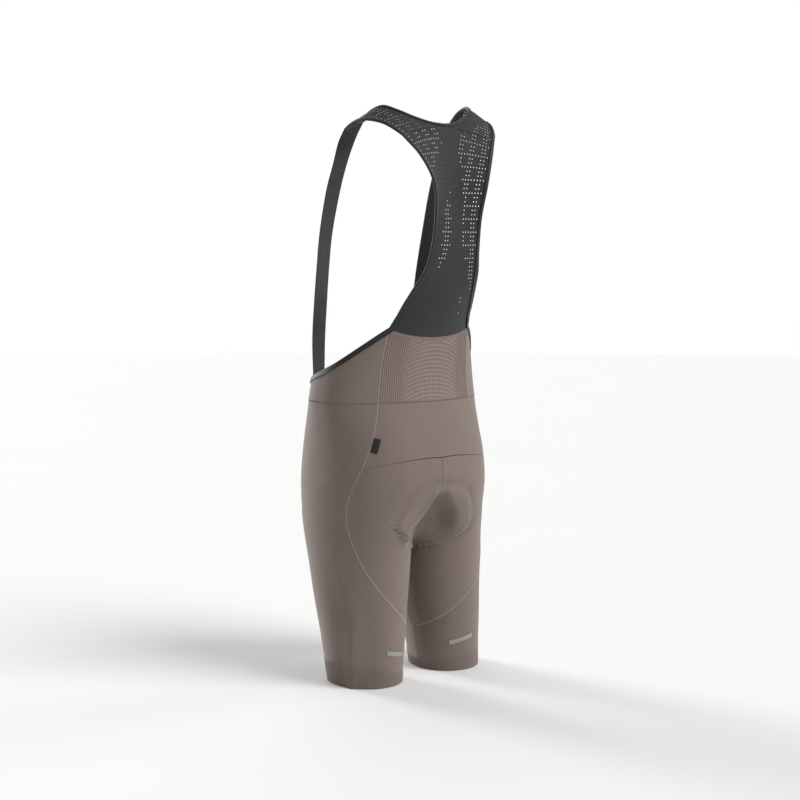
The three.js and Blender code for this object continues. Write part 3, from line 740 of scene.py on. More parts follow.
def knit_material(name, colour, wale, course, depth, roughness, sheen):
    """Warp-knitted elastic cloth: fine wales and courses, a soft nap, a slight melange of its yarns, and
    painted shade in the furrows of its ribs and puckers
    """
    material, tree, shader = start_material(
        name,
        {"Roughness": roughness, "Sheen Weight": sheen, "Sheen Roughness": 0.4, "Specular IOR Level": 0.35},
    )
    uv = add_node(tree, "ShaderNodeUVMap", uv_map="UVMap").outputs["UV"]
    place = add_node(tree, "ShaderNodeTexCoord").outputs["Object"]
    wales = add_node(
        tree,
        "ShaderNodeTexWave",
        {"Vector": uv, "Scale": band_scale(wale), "Distortion": 0.6},
        bands_direction="X",
    ).outputs["Fac"]
    courses = add_node(
        tree,
        "ShaderNodeTexWave",
        {"Vector": uv, "Scale": band_scale(course), "Distortion": 0.4},
        bands_direction="Y",
    ).outputs["Fac"]
    loops = add_node(tree, "ShaderNodeMath", {0: wales, 1: courses}, operation="MULTIPLY").outputs[0]
    yarn = add_node(tree, "ShaderNodeTexNoise", {"Vector": place, "Scale": 900, "Detail": 2}).outputs["Fac"]
    cloud = add_node(
        tree, "ShaderNodeTexNoise", {"Vector": place, "Scale": 14, "Detail": 3, "Roughness": 0.55}
    ).outputs["Fac"]
    pulled = add_node(tree, "ShaderNodeMapping", {"Vector": uv, "Scale": (60, 700, 1)}, vector_type="POINT")
    streak = add_node(
        tree, "ShaderNodeTexNoise", {"Vector": pulled.outputs[0], "Scale": 1, "Detail": 2, "Roughness": 0.6}
    ).outputs["Fac"]
    mixed = cloud
    for part in (yarn, streak):
        mixed = add_node(
            tree, "ShaderNodeMath", {0: part, 1: 0.5, 2: mixed}, operation="MULTIPLY_ADD"
        ).outputs[0]
    shade = add_node(
        tree,
        "ShaderNodeMapRange",
        {"Value": mixed, "From Min": 0.6, "From Max": 1.4, "To Min": 1 - MELANGE, "To Max": 1 + MELANGE},
    ).outputs[0]
    seam = add_node(tree, "ShaderNodeAttribute", attribute_name="seam").outputs["Fac"]
    seam_shade = add_node(
        tree,
        "ShaderNodeMapRange",
        {"Value": seam, "From Min": 0.2, "From Max": 1.6, "To Min": 0.95, "To Max": 1.0},
        interpolation_type="SMOOTHSTEP",
    ).outputs[0]
    # Painted shade: the groove mark darkens the cloth down to 0.62 in the furrows of ribs and the troughs of
    # puckers, where shade falls
    groove_shade = add_node(tree, "ShaderNodeAttribute", attribute_name="groove_shade").outputs["Fac"]
    furrow_shade = add_node(tree, "ShaderNodeMapRange", {"Value": groove_shade, "To Min": 1.0, "To Max": 0.62}).outputs[0]
    gaps = add_node(
        tree, "ShaderNodeMapRange", {"Value": loops, "From Max": 0.6, "To Min": 0.9, "To Max": 1.03}
    ).outputs[0]
    for part in (seam_shade, furrow_shade, gaps):
        shade = add_node(tree, "ShaderNodeMath", {0: shade, 1: part}, operation="MULTIPLY").outputs[0]
    colour_surface(tree, shader, colour, shade)
    height = add_node(
        tree, "ShaderNodeMath", {0: loops, 1: 0.7, 2: yarn}, operation="MULTIPLY_ADD"
    ).outputs[0]
    raise_surface(tree, shader, height, 0.5, depth)
    return material


def elastic_material(name, colour):
    """Woven elastic webbing: satin black with fine lengthwise cords and crosswise picks"""
    material, tree, shader = start_material(name, {"Roughness": 0.42, "Specular IOR Level": 0.4})
    uv = add_node(tree, "ShaderNodeUVMap", uv_map="UVMap").outputs["UV"]
    cords = add_node(
        tree, "ShaderNodeTexWave", {"Vector": uv, "Scale": band_scale(2.2)}, bands_direction="X"
    ).outputs["Fac"]
    picks = add_node(
        tree, "ShaderNodeTexWave", {"Vector": uv, "Scale": band_scale(1.2)}, bands_direction="Y"
    ).outputs["Fac"]
    weave = add_node(tree, "ShaderNodeMath", {0: cords, 1: picks}, operation="MULTIPLY").outputs[0]
    shade = add_node(tree, "ShaderNodeMapRange", {"Value": weave, "To Min": 0.8, "To Max": 1.15}).outputs[0]
    colour_surface(tree, shader, colour, shade)
    height = add_node(tree, "ShaderNodeMath", {0: cords, 1: weave}, operation="ADD").outputs[0]
    raise_surface(tree, shader, height, 0.5, 0.25)
    return material


def tape_material(name, colour):
    """Fold-over elastic binding: matt black tape with fine ribs along it"""
    material, tree, shader = start_material(name, {"Roughness": 0.62, "Sheen Weight": 0.1})
    uv = add_node(tree, "ShaderNodeUVMap", uv_map="UVMap").outputs["UV"]
    ribs = add_node(
        tree, "ShaderNodeTexWave", {"Vector": uv, "Scale": band_scale(1.1)}, bands_direction="X"
    ).outputs["Fac"]
    picks = add_node(
        tree,
        "ShaderNodeTexWave",
        {"Vector": uv, "Scale": band_scale(1.6), "Distortion": 0.3},
        bands_direction="Y",
    ).outputs["Fac"]
    height = add_node(tree, "ShaderNodeMath", {0: ribs, 1: picks}, operation="ADD").outputs[0]
    shade = add_node(
        tree, "ShaderNodeMapRange", {"Value": height, "From Max": 2.0, "To Min": 0.82, "To Max": 1.12}
    ).outputs[0]
    colour_surface(tree, shader, colour, shade)
    raise_surface(tree, shader, height, 0.4, 0.2)
    return material


def film_material(name, colour):
    """Heat-pressed reflective film: silver glass beads in a grey binder"""
    material, tree, shader = start_material(name, {"Roughness": 0.38, "Metallic": 0.35})
    place = add_node(tree, "ShaderNodeTexCoord").outputs["Object"]
    beads = add_node(tree, "ShaderNodeTexNoise", {"Vector": place, "Scale": 2600, "Detail": 1}).outputs["Fac"]
    shade = add_node(
        tree,
        "ShaderNodeMapRange",
        {"Value": beads, "From Min": 0.3, "From Max": 0.7, "To Min": 0.85, "To Max": 1.1},
    ).outputs[0]
    colour_surface(tree, shader, colour, shade)
    raise_surface(tree, shader, beads, 0.25, 0.1)
    return material


def satin_material(name, colour):
    """Woven polyester label: dense satin with diagonal picks"""
    material, tree, shader = start_material(name, {"Roughness": 0.45})
    uv = add_node(tree, "ShaderNodeUVMap", uv_map="UVMap").outputs["UV"]
    picks = add_node(
        tree, "ShaderNodeTexWave", {"Vector": uv, "Scale": band_scale(0.9)}, bands_direction="DIAGONAL"
    ).outputs["Fac"]
    shade = add_node(tree, "ShaderNodeMapRange", {"Value": picks, "To Min": 0.85, "To Max": 1.2}).outputs[0]
    colour_surface(tree, shader, colour, shade)
    raise_surface(tree, shader, picks, 0.3, 0.1)
    return material


def thread_material(name, colour):
    """Textured polyamide thread: soft sheen, with uneven filaments as a fine mottle"""
    material, tree, shader = start_material(name, {"Roughness": 0.6, "Sheen Weight": 0.2})
    place = add_node(tree, "ShaderNodeTexCoord").outputs["Object"]
    mottle = add_node(
        tree, "ShaderNodeTexNoise", {"Vector": place, "Scale": 1500, "Detail": 1}
    ).outputs["Fac"]
    shade = add_node(tree, "ShaderNodeMapRange", {"Value": mottle, "To Min": 0.8, "To Max": 1.2}).outputs[0]
    colour_surface(tree, shader, colour, shade)
    return material


materials = {}


def material_for(key):
    """Material of a slot or a thread, made when it is first asked for"""
    if key not in materials:
        colours = bpy.context.scene.bib_colours
        makers = {
            "taupe_knit": lambda: knit_material("taupe_warp_knit", colours.taupe, 1.5, 1.2, 0.35, 0.82, 0.25),
            "rib_knit": lambda: knit_material("taupe_rib_knit", colours.rib, 1.3, 1.2, 0.35, 0.85, 0.25),
            "perforated_knit": lambda: knit_material(
                "charcoal_perforated_knit", colours.mesh, 1.4, 1.7, 0.3, 0.75, 0.04
            ),
            "elastic": lambda: elastic_material("black_woven_elastic", colours.elastic),
            "binding": lambda: tape_material("black_fold_over_binding", colours.binding),
            "label": lambda: satin_material("black_woven_label", colours.label),
            "reflective": lambda: film_material("silver_reflective_film", colours.reflective),
            "thread": lambda: thread_material("taupe_flatlock_thread", colours.thread),
            "tone_thread": lambda: thread_material("taupe_seam_thread", colours.taupe),
            "dark_thread": lambda: thread_material("black_seam_thread", colours.mesh),
        }
        materials[key] = makers[key]()
    return materials[key]


def to_frame(points):
    """Form millimetres above the hems to metres in the frame of the solids"""
    return (points - np.array([0, 0, CREST_HEIGHT])) * MM


def grid_sheet(name, columns, rows, shape):
    """A grid placed by its shape function, with its lengths along the cloth as UV and its marks"""
    bpy.ops.object.select_all(action="DESELECT")
    bpy.ops.mesh.primitive_grid_add(x_subdivisions=columns, y_subdivisions=rows, size=1)
    piece = bpy.context.object
    piece.name = piece.data.name = name
    mesh = piece.data
    flat = np.empty(len(mesh.vertices) * 3)
    mesh.vertices.foreach_get("co", flat)
    flat = flat.reshape(-1, 3)
    lattice = np.lexsort((flat[:, 0].round(5), flat[:, 1].round(5))).reshape(rows + 1, columns + 1)
    u = np.tile(np.linspace(0, 1, columns + 1), (rows + 1, 1))
    v = np.tile(np.linspace(0, 1, rows + 1)[:, None], (1, columns + 1))
    points, marks = shape(u, v)
    flat[lattice.ravel()] = to_frame(points.reshape(-1, 3))
    mesh.vertices.foreach_set("co", flat.ravel())
    across, up = lengths(points, 1), lengths(points, 0)
    middle = columns // 2
    measured = np.empty((len(mesh.vertices), 2))
    measured[lattice.ravel(), 0] = (across - across[:, middle : middle + 1]).ravel() * MM
    measured[lattice.ravel(), 1] = np.tile(up[:, middle : middle + 1], (1, columns + 1)).ravel() * MM
    corners = np.empty(len(mesh.loops), int)
    mesh.loops.foreach_get("vertex_index", corners)
    mesh.uv_layers.active.name = "UVMap"
    mesh.uv_layers.active.data.foreach_set("uv", measured[corners].ravel())
    for mark, values in marks.items():
        attribute = mesh.attributes.new(mark, "FLOAT", "POINT")
        ordered = np.empty(len(mesh.vertices))
        ordered[lattice.ravel()] = values.ravel()
        attribute.data.foreach_set("value", ordered)
    return piece, lattice


def apply_modifier(piece, kind, name, **settings):
    """Adds a modifier and applies it"""
    modifier = piece.modifiers.new(name, kind)
    for key, value in settings.items():
        setattr(modifier, key, value)
    bpy.context.view_layer.objects.active = piece
    bpy.ops.object.modifier_apply(modifier=modifier.name)


def dress(piece, node, slot, crease=75):
    """Shading smooth up to a crease angle, the slot's material, and the solid that the piece stands for"""
    bpy.ops.object.select_all(action="DESELECT")
    piece.select_set(True)
    bpy.context.view_layer.objects.active = piece
    bpy.ops.object.shade_smooth_by_angle(angle=math.radians(crease))
    piece.data.materials.clear()
    piece.data.materials.append(material_for(slot))
    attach(piece, "root")
    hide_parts(node)


def make_sheet(name, columns, rows, shape, wall, node, slot, **cut):
    """Places a sheet and gives it its wall and material; its cut is not used"""
    piece, _ = grid_sheet(name, columns, rows, shape)
    apply_modifier(piece, "SOLIDIFY", "Wall", thickness=wall, offset=-1)
    dress(piece, node, slot)


SIDES = ((1, "left"), (-1, "right"))


class PairedPieces:
    """Makes a piece on the wearer's left and on the right"""

    def execute(self, context):
        for side, word in SIDES:
            self.make(side, word, context.scene.bib_sizes)
        return {"FINISHED"}


class BIB_OT_leg_panels(PairedPieces, bpy.types.Operator):
    """Front, side and lower back of each leg, with a ribbed band at the hem"""

    bl_idname = "bib.leg_panels"
    bl_label = "Leg panels"

    def make(self, side, word, sizes):
        """Sheet of one leg, with its own rows for the ribbed band"""
        columns, rows = 4 * HEM_RIBS, 80

        def shape(u, v):
            t = u if side > 0 else 1 - u
            share = 6 / rows
            band = HEM_TOP + HEM_FADE
            above = band + (WAIST_ROW - band) * (v - share) / (1 - share)
            row = np.where(v <= share, band * v / share, above)
            ribbed = 1 - ramp(HEM_TOP - HEM_FADE, HEM_TOP + HEM_FADE, row)
            rib = (0.5 - 0.5 * np.cos(2 * math.pi * HEM_RIBS * t)) * ribbed
            # Painted shade in the furrows between the ribs of the hem band
            furrow_shade = 0.5 * (ribbed - rib)
            raised = rib * sizes.hem_rib / MM
            return body_sheet(side, row, front_angle(row, t), ("left", "right", "top"), raised, furrow_shade)

        make_sheet(
            f"leg_cloth_{word}", columns, rows, shape, sizes.wall, f"leg_panel_{word}", "taupe_knit",
            flat=(0.47, 0.46), area=0.157, held="stretched", rests_on=[f"waist_cloth_{word}", "yoke_cloth"],
        )


class BIB_OT_seat_panels(PairedPieces, bpy.types.Operator):
    """Seat and inner thigh of each side, over the pad"""

    bl_idname = "bib.seat_panels"
    bl_label = "Seat panels"

    def make(self, side, word, sizes):
        """Sheet of one side, from its tip on the inner thigh to the yoke"""
        top = float(yoke_row(1.0))

        def shape(u, v):
            q = u if side > 0 else 1 - u
            side_row = SEAT_TIP + (top - SEAT_TIP) * v
            share = (side_row - CROTCH_ROW) / (top - CROTCH_ROW)
            upper = CROTCH_ROW + (yoke_row(1 - q) - seam_shift(SEAM_GAP) - CROTCH_ROW) * share
            row = np.where(side_row <= CROTCH_ROW, side_row, upper)
            start = side_seam(row) + seam_shift(HALF_GAP)
            stop = row_end(row, 1, HALF_GAP)
            return body_sheet(side, row, start + (stop - start) * q)

        make_sheet(
            f"seat_cloth_{word}", 140, 180, shape, sizes.wall, f"seat_panel_{word}", "taupe_knit",
            flat=(0.22, 0.29), area=0.054, held="stretched", rests_on=[f"leg_cloth_{word}", "yoke_cloth"],
        )


def across_back(u):
    """Side and share of the way to the side-back seam, from the left seam over the centre to the right"""
    return np.where(u <= 0.5, 1.0, -1.0), np.abs(2 * u - 1)


class BIB_OT_back_yoke(bpy.types.Operator):
    """Yoke between the seat and the waist seam, in one piece across the back"""

    bl_idname = "bib.back_yoke"
    bl_label = "Back yoke"

    def execute(self, context):
        sizes = context.scene.bib_sizes

        def shape(u, v):
            side, q = across_back(u)
            low = yoke_row(q) + seam_shift(SEAM_GAP) * (1 - q)
            row = low + (WAIST_ROW - low) * v
            return body_sheet(side, row, back_angle(row, q))

        make_sheet(
            "yoke_cloth", 160, 46, shape, sizes.wall, "back_yoke", "taupe_knit",
            flat=(0.235, 0.1), area=0.0208, held="stretched", rests_on=["lumbar_cloth"],
        )
        return {"FINISHED"}


class BIB_OT_waist_fronts(PairedPieces, bpy.types.Operator):
    """Low front of the waist, rising to the lumbar panel at the sides"""

    bl_idname = "bib.waist_fronts"
    bl_label = "Waist fronts"

    def make(self, side, word, sizes):
        """Sheet of one side, from the waist seam to its curved top edge"""
        low = WAIST_SEAM + HALF_GAP

        def shape(u, v):
            t = u if side > 0 else 1 - u
            row = low + (profile(FRONT_EDGE, 1, t) - low) * v
            return body_sheet(side, row, front_angle(row, t), ("left", "right", "bottom"))

        make_sheet(
            f"waist_cloth_{word}", 120, 34, shape, sizes.wall, f"waist_front_{word}", "taupe_knit",
            flat=(0.27, 0.12), area=0.0135, held="stretched", rests_on=["lumbar_cloth"],
        )


# Lumbar panel: upright ribs, pitch and rise of the courses across them, and where their dome ends
LUMBAR_RIBS = 46
COURSE_PITCH = 6.8
COURSE_CURVE = 52
DOME_EDGE = (0.4, 0.62)


class BIB_OT_lumbar_panel(bpy.types.Operator):
    """Ribbed panel over the lower back: upright ribs, crossed by a dome of curved courses in the middle"""

    bl_idname = "bib.lumbar_panel"
    bl_label = "Lumbar panel"

    def execute(self, context):
        sizes = context.scene.bib_sizes
        low = WAIST_SEAM + HALF_GAP

        def shape(u, v):
            side, q = across_back(u)
            row = low + (lumbar_top(q) - low) * v
            upright = 0.5 + 0.5 * np.cos(2 * math.pi * LUMBAR_RIBS * u)
            course = 0.5 + 0.5 * np.cos(2 * math.pi * (row + COURSE_CURVE * q * q) / COURSE_PITCH)
            dome = (1 - ramp(*DOME_EDGE, q)) * ramp(0, 8, lumbar_top(q) - 8 - row + 20 * q)
            rib = upright * (1 - 0.45 * dome) + course * dome
            rib = rib * ramp(0, 2.5, (1 - q) * 100) * ramp(0, 3, row - low) * ramp(0, 3, lumbar_top(q) - row)
            raised = rib * sizes.lumbar_rib / MM
            # The last value is painted shade between the ribs and courses, darkest where they are lowest
            return body_sheet(side, row, back_angle(row, q), EDGES, raised, 1 - np.minimum(rib, 1))

        make_sheet(
            "lumbar_cloth", 6 * LUMBAR_RIBS, 76, shape, sizes.wall, "lumbar_panel", "rib_knit",
            flat=(0.235, 0.11), area=0.0214, held="stretched", rests_on=["back_mesh_cloth"],
        )
        return {"FINISHED"}


# Perforations: spacing of the columns from the armhole's edge and of the rows along it
HOLE_COLUMN = 5.35
HOLE_ROW = 6.9
HOLE_FIRST = 8
GRID_ROWS_PER_HOLE = 3
MESH_COLUMNS = 96

# Field of holes: height of its lower tip and of its first row, rise for each further column, height at which
# it is full, and the step over the shoulder where it ends
HOLES_TIP = 625
HOLES_FROM = 628
HOLES_RISE = 17
HOLES_FULL = 735
HOLES_END = 1.8

# Cloth without holes beside the centre back, and what it grows by between two heights below the neck
SOLID_CENTRE = 13
SOLID_GROWTH = 7
SOLID_TOP = (840, 900)

# Cloth without holes beside the neck, up to a step over the shoulder and after it
SOLID_NECK = 9
SOLID_CREST = 8
NECK_STEP = 1.3

# Single holes below the field on the right: height and column
STRAY_HOLES = ((625, 5), (617, 5), (597, 5))

# Lap of the mesh over the lumbar panel, and height at which it has left the form of the cloth below
MESH_LAP = 2
MESH_FREE = 588


def back_strip(side, w, q):
    """Points of the back panel and shoulder: w runs 0 to 1 up the back, then 1 to 2 over the shoulder"""
    s = LUMBAR_CENTRE + (BACK_TOP - LUMBAR_CENTRE) * np.minimum(w, 1)
    foot_row = lumbar_top(q[:1]) - MESH_LAP
    foot = ray_point(side, foot_row, back_angle(foot_row, q[:1]))
    foot = foot + field_normal(foot) * MESH_WALL
    free = ramp(LUMBAR_CENTRE, MESH_FREE, s)[..., None]
    body = foot * (1 - free) + back_point(side, s, q) * free
    over = shoulder_point(side, SHOULDER_END * np.maximum(w - 1, 0), q)
    return np.where(w[..., None] <= 1, body, over)


class BIB_OT_back_mesh(bpy.types.Operator):
    """Perforated back panel with its two shoulder straps, with real holes"""

    bl_idname = "bib.back_mesh"
    bl_label = "Back mesh"

    def execute(self, context):
        sizes = context.scene.bib_sizes
        halves = [self.half(side, word, sizes) for side, word in SIDES]
        bpy.ops.object.select_all(action="DESELECT")
        for half in halves:
            half.select_set(True)
        bpy.context.view_layer.objects.active = halves[0]
        bpy.ops.object.join()
        piece = bpy.context.object
        piece.name = piece.data.name = "back_mesh_cloth"
        bpy.ops.object.mode_set(mode="EDIT")
        bpy.ops.mesh.select_all(action="SELECT")
        bpy.ops.mesh.remove_doubles(threshold=0.00002)
        bpy.ops.object.mode_set(mode="OBJECT")
        apply_modifier(piece, "SOLIDIFY", "Wall", thickness=sizes.mesh_wall, offset=-1)
        dress(piece, "back_mesh", "perforated_knit")
        return {"FINISHED"}

    def rows_along(self, side):
        """Steps up the back and over the shoulder at equal distances along the armhole's edge"""
        w = np.linspace(0, 2, 1601)[:, None]
        edge = back_strip(side, w, np.ones_like(w))
        along = lengths(edge, 0)[:, 0]
        count = int(round(along[-1] / (HOLE_ROW / GRID_ROWS_PER_HOLE)))
        return np.interp(np.linspace(0, along[-1], count + 1), along, w[:, 0])

    def half(self, side, word, sizes):
        """Left or right half of the panel, with its holes cut"""
        steps = self.rows_along(side)
        rows = len(steps) - 1
        kept = {}

        def shape(u, v):
            q = 1 - u if side > 0 else u
            w = np.tile(steps[:, None], (1, MESH_COLUMNS + 1))
            points = back_strip(side, w, q)
            kept["gone"] = self.perforate(side, points, w, sizes.hole / MM / 2)
            outer = "left" if side > 0 else "right"
            return points, {"seam": edge_distance(points, (outer, "bottom")) + 1}

        piece, lattice = grid_sheet(f"back_mesh_{word}", MESH_COLUMNS, rows, shape)
        mesh = piece.data
        for part in (mesh.vertices, mesh.edges, mesh.polygons):
            part.foreach_set("select", np.zeros(len(part), bool))
        chosen = np.zeros(len(mesh.vertices), bool)
        chosen[lattice[kept["gone"]]] = True
        mesh.vertices.foreach_set("select", chosen)
        bpy.ops.object.mode_set(mode="EDIT")
        bpy.ops.mesh.delete(type="VERT")
        bpy.ops.object.mode_set(mode="OBJECT")
        return piece

    def perforate(self, side, points, w, radius):
        """Moves the grid onto round holes, and marks the points inside them"""
        rows, columns = points.shape[0] - 1, points.shape[1] - 1
        gone = np.zeros(points.shape[:2], bool)
        form = points.copy()
        for j, row in enumerate(range(4, rows - 7, GRID_ROWS_PER_HOLE)):
            line = form[row] if side > 0 else form[row][::-1]
            along = lengths(line[None], 1)[0]
            rise = unit(form[row + 1] - form[row - 1])
            for k in range(20):
                away = HOLE_FIRST + k * HOLE_COLUMN
                if not self.is_hole(side, j, k, away, along[-1], w[row, 0]):
                    continue
                column = int(round(float(np.interp(away, along, np.arange(columns + 1)))))
                centre = np.array([np.interp(away, along, line[:, a]) for a in range(3)])
                step = along[column + 1] - along[column]
                reach = max(1, int(round(radius / step)))
                if column < reach + 2 or column > columns - reach - 2:
                    continue
                across = unit(line[column + 1] - line[column - 1])
                up = rise[column if side > 0 else columns - column]
                ring = self.ring(row, column, reach, columns, side)
                for turn, spot in zip(np.arange(len(ring)) * 2 * math.pi / len(ring), ring):
                    points[spot] = centre + radius * (across * math.cos(turn) + up * math.sin(turn))
                for i in range(column - reach + 1, column + reach):
                    gone[row, i if side > 0 else columns - i] = True
        return gone

    def ring(self, row, column, reach, columns, side):
        """Grid points round a hole, from its right end over the top"""
        spots = [(row, column + reach)]
        spots += [(row + 1, column + i) for i in range(reach, -reach - 1, -1)]
        spots += [(row, column - reach)]
        spots += [(row - 1, column + i) for i in range(-reach, reach + 1)]
        return [(r, c if side > 0 else columns - c) for r, c in spots]

    def is_hole(self, side, j, k, away, length, w):
        """Full rows at every third row, and pairs of columns between them; a solid strip at the centre"""
        if w > HOLES_END:
            return False
        if w > 1:
            limit = length - (SOLID_NECK if w < NECK_STEP else SOLID_CREST)
        else:
            z = LUMBAR_CENTRE + (BACK_TOP - LUMBAR_CENTRE) * w
            near = [column for height, column in STRAY_HOLES if abs(z - height) < HOLE_ROW / 2]
            if side < 0 and k in near:
                return True
            if z < HOLES_FROM:
                return False
            limit = length - SOLID_CENTRE - SOLID_GROWTH * float(ramp(*SOLID_TOP, z))
            if z < HOLES_FULL:
                limit = min(limit, HOLE_FIRST + HOLE_COLUMN * (0.3 + (z - HOLES_TIP) / HOLES_RISE))
        pairs = (0, 3) if side > 0 else (1, 2)
        return away <= limit and (j % 3 == 0 or k % 4 in pairs)


# Shares of a front strap's length: end of its foot, start of its free length and start of its tucked end
STRAP_SHARES = (0.12, 0.14, 0.975)

# Share of the last step over the shoulder by which a front strap is tucked under the mesh, and how deep
STRAP_TUCK = 0.45
TUCK_DEPTH = MESH_WALL + 0.4


class BIB_OT_front_straps(PairedPieces, bpy.types.Operator):
    """Flat elastic straps from the waist front to the shoulder"""

    bl_idname = "bib.front_straps"
    bl_label = "Front straps"

    def make(self, side, word, sizes):
        """Sheet of one strap: its foot on the waist front, its free length and its end under the mesh"""

        def shape(u, v):
            q = u if side > 0 else 1 - u
            foot_end, free_start, tuck_start = STRAP_SHARES
            low, high = STRAP_FOOT[0][0], STRAP_FOOT[-1][0]
            z = low + (high - low) * np.minimum(v / foot_end, 1)
            inner, outer = STRAP[0][1], STRAP[0][3]
            pull = profile(STRAP_FOOT, 1, z)
            foot = front_point(side, inner + (outer - inner) * q + pull, z, STRAP_LIFT)
            rise = np.clip((v - free_start) / (tuck_start - free_start), 0, 1)
            free = strap_point(side, STRAP_START + (STRAP_END - STRAP_START) * rise, q)
            share = ramp(foot_end, free_start, v)[..., None]
            points = foot * (1 - share) + free * share
            step = SHOULDER_END - STRAP_TUCK * np.maximum(v - tuck_start, 0) / (1 - tuck_start)
            tuck = shoulder_point(side, step, q) - shoulder_normal(side, step, q) * TUCK_DEPTH
            return np.where(v[..., None] > tuck_start, tuck, points), {}

        make_sheet(
            f"strap_cloth_{word}", 20, 200, shape, sizes.elastic_wall, f"strap_{word}", "elastic",
            flat=(0.036, 0.46), held="stretched", rests_on=[f"waist_cloth_{word}", "back_mesh_cloth"],
        )


def front_edge_pair(side, t):
    """Points of the waist front's top edge, and points square to the edge inside it"""
    row = profile(FRONT_EDGE, 1, t)
    after, before = np.minimum(t + 0.02, 1), np.maximum(t - 0.02, 0)
    angle = front_angle(row, t)
    edge = ray_point(side, row, angle)
    rise = profile(FRONT_EDGE, 1, after) - profile(FRONT_EDGE, 1, before)
    turn = front_angle(row, after) - front_angle(row, before)
    per_degree = np.linalg.norm(edge - ray_point(side, row, angle + 1), axis=-1)
    run = turn * per_degree
    scale = TAPE_REACH[0] / np.hypot(rise, run)
    inner = ray_point(side, row - run * scale, angle + rise * scale / per_degree)
    return edge, inner


def tape_shape(edge, inner, reach, sign, turned):
    """Shape function of a tape folded round an edge"""
    along = unit(np.gradient(edge, axis=0))
    into = inner - edge
    into = unit(into - (into * along).sum(-1, keepdims=True) * along)
    normal = unit(np.cross(into, along)) * sign
    half = WALL / 2 + TAPE_CLEAR

    def section(share):
        """Place across the fold: into the cloth, and out from its middle"""
        straight = reach[:, None] + 0 * share
        bend = np.clip((share - TAPE_SIDE) / (1 - 2 * TAPE_SIDE), 0, 1) * math.pi
        run_in = straight * (1 - np.clip(share / TAPE_SIDE, 0, 1))
        run_out = straight * np.clip((share - 1 + TAPE_SIDE) / TAPE_SIDE, 0, 1)
        return run_in + run_out - np.sin(bend) * TAPE_CLEAR, np.cos(bend) * half - WALL / 2

    def shape(u, v):
        share = 1 - u if turned else u
        inward, outward = section(share)
        points = edge[:, None] + into[:, None] * inward[..., None] + normal[:, None] * outward[..., None]
        return points, {}

    return shape


# Steps up the back and over the shoulder between which the armhole's binding runs
BINDING_STEPS = (0.07, 1.97)


class BIB_OT_bindings(bpy.types.Operator):
    """Folded elastic binding round the armholes, the waist front and the neck"""

    bl_idname = "bib.bindings"
    bl_label = "Bindings"

    def execute(self, context):
        for side, word in SIDES:
            edge, inner, reach = self.armhole(side)
            self.make(f"binding_cloth_{word}", f"binding_{word}", edge, inner, reach, side, side > 0, 0.8)
        edge, inner = self.neck()
        reach = np.full(len(edge), TAPE_REACH[2])
        self.make("neck_binding_cloth", "neck_binding", edge, inner, reach, 1, True, 0.28)
        return {"FINISHED"}

    def armhole(self, side):
        """Edge of the waist front and on up the armhole, points inside it, and reach of the tape"""
        edge, inner = front_edge_pair(side, np.linspace(0, 1, 91))
        start, stop = BINDING_STEPS
        w = np.concatenate([np.linspace(start, 1, 120), np.linspace(1.01, stop, 50)])[:, None]
        up = back_strip(side, w, np.ones_like(w))[:, 0]
        up_inner = back_strip(side, w, np.full_like(w, 0.93))[:, 0]
        edge, inner = np.concatenate([edge, up]), np.concatenate([inner, up_inner])
        share = np.linspace(0, 1, len(edge))
        return edge, inner, TAPE_REACH[0] - (TAPE_REACH[0] - TAPE_REACH[1]) * ramp(0.4, 0.6, share)

    def neck(self):
        """Edge of the neck from the left shoulder to the right, and points inside it"""
        s = np.linspace(SHOULDER_END, -SHOULDER_END, 181)
        side = np.where(s >= 0, 1.0, -1.0)
        edge = shoulder_point(side, np.abs(s), np.zeros_like(s))
        inner = shoulder_point(side, np.abs(s), np.full_like(s, 0.06))
        inner[len(s) // 2] = (0, BACK[-1][1], BACK_TOP - 6)
        return edge, inner

    def make(self, name, node, edge, inner, reach, sign, turned, length):
        """One binding; the length of its tape in metres is not used"""
        shape = tape_shape(edge, inner, reach, sign, turned)
        piece, _ = grid_sheet(name, 18, len(edge) - 1, shape)
        apply_modifier(piece, "SOLIDIFY", "Tape", thickness=TAPE * MM, offset=1)
        dress(piece, node, "binding", 60)


# Flatlock stitches: spacing, half length, thread radius, height over the cloth and slant to and fro
STITCH_PITCH = 1.3
STITCH_REACH = 1.6
STITCH_RADIUS = 0.45
STITCH_LIFT = 0.15
STITCH_SLANT = 0.35
INSEAM_TOP = 290


def side_seams():
    """Points of the form along the side-back seams and the inseams, and the tacks where they meet"""
    lines = []
    for side, _ in SIDES:
        rows = np.linspace(SEAT_TIP + 1, LUMBAR_SIDE - 3, 400)
        lines.append(ray_point(side, rows, side_seam(rows)))
        rows = np.linspace(HEM_TOP, SEAT_TIP, 60)
        lines.append(ray_point(side, rows, np.full_like(rows, 180.0)))
        for angle in (174, 177, 180, 183):
            rows = np.linspace(SEAT_TIP - 3, SEAT_TIP + 3, 12)
            lines.append(ray_point(side, rows, np.full_like(rows, float(angle))))
    return lines


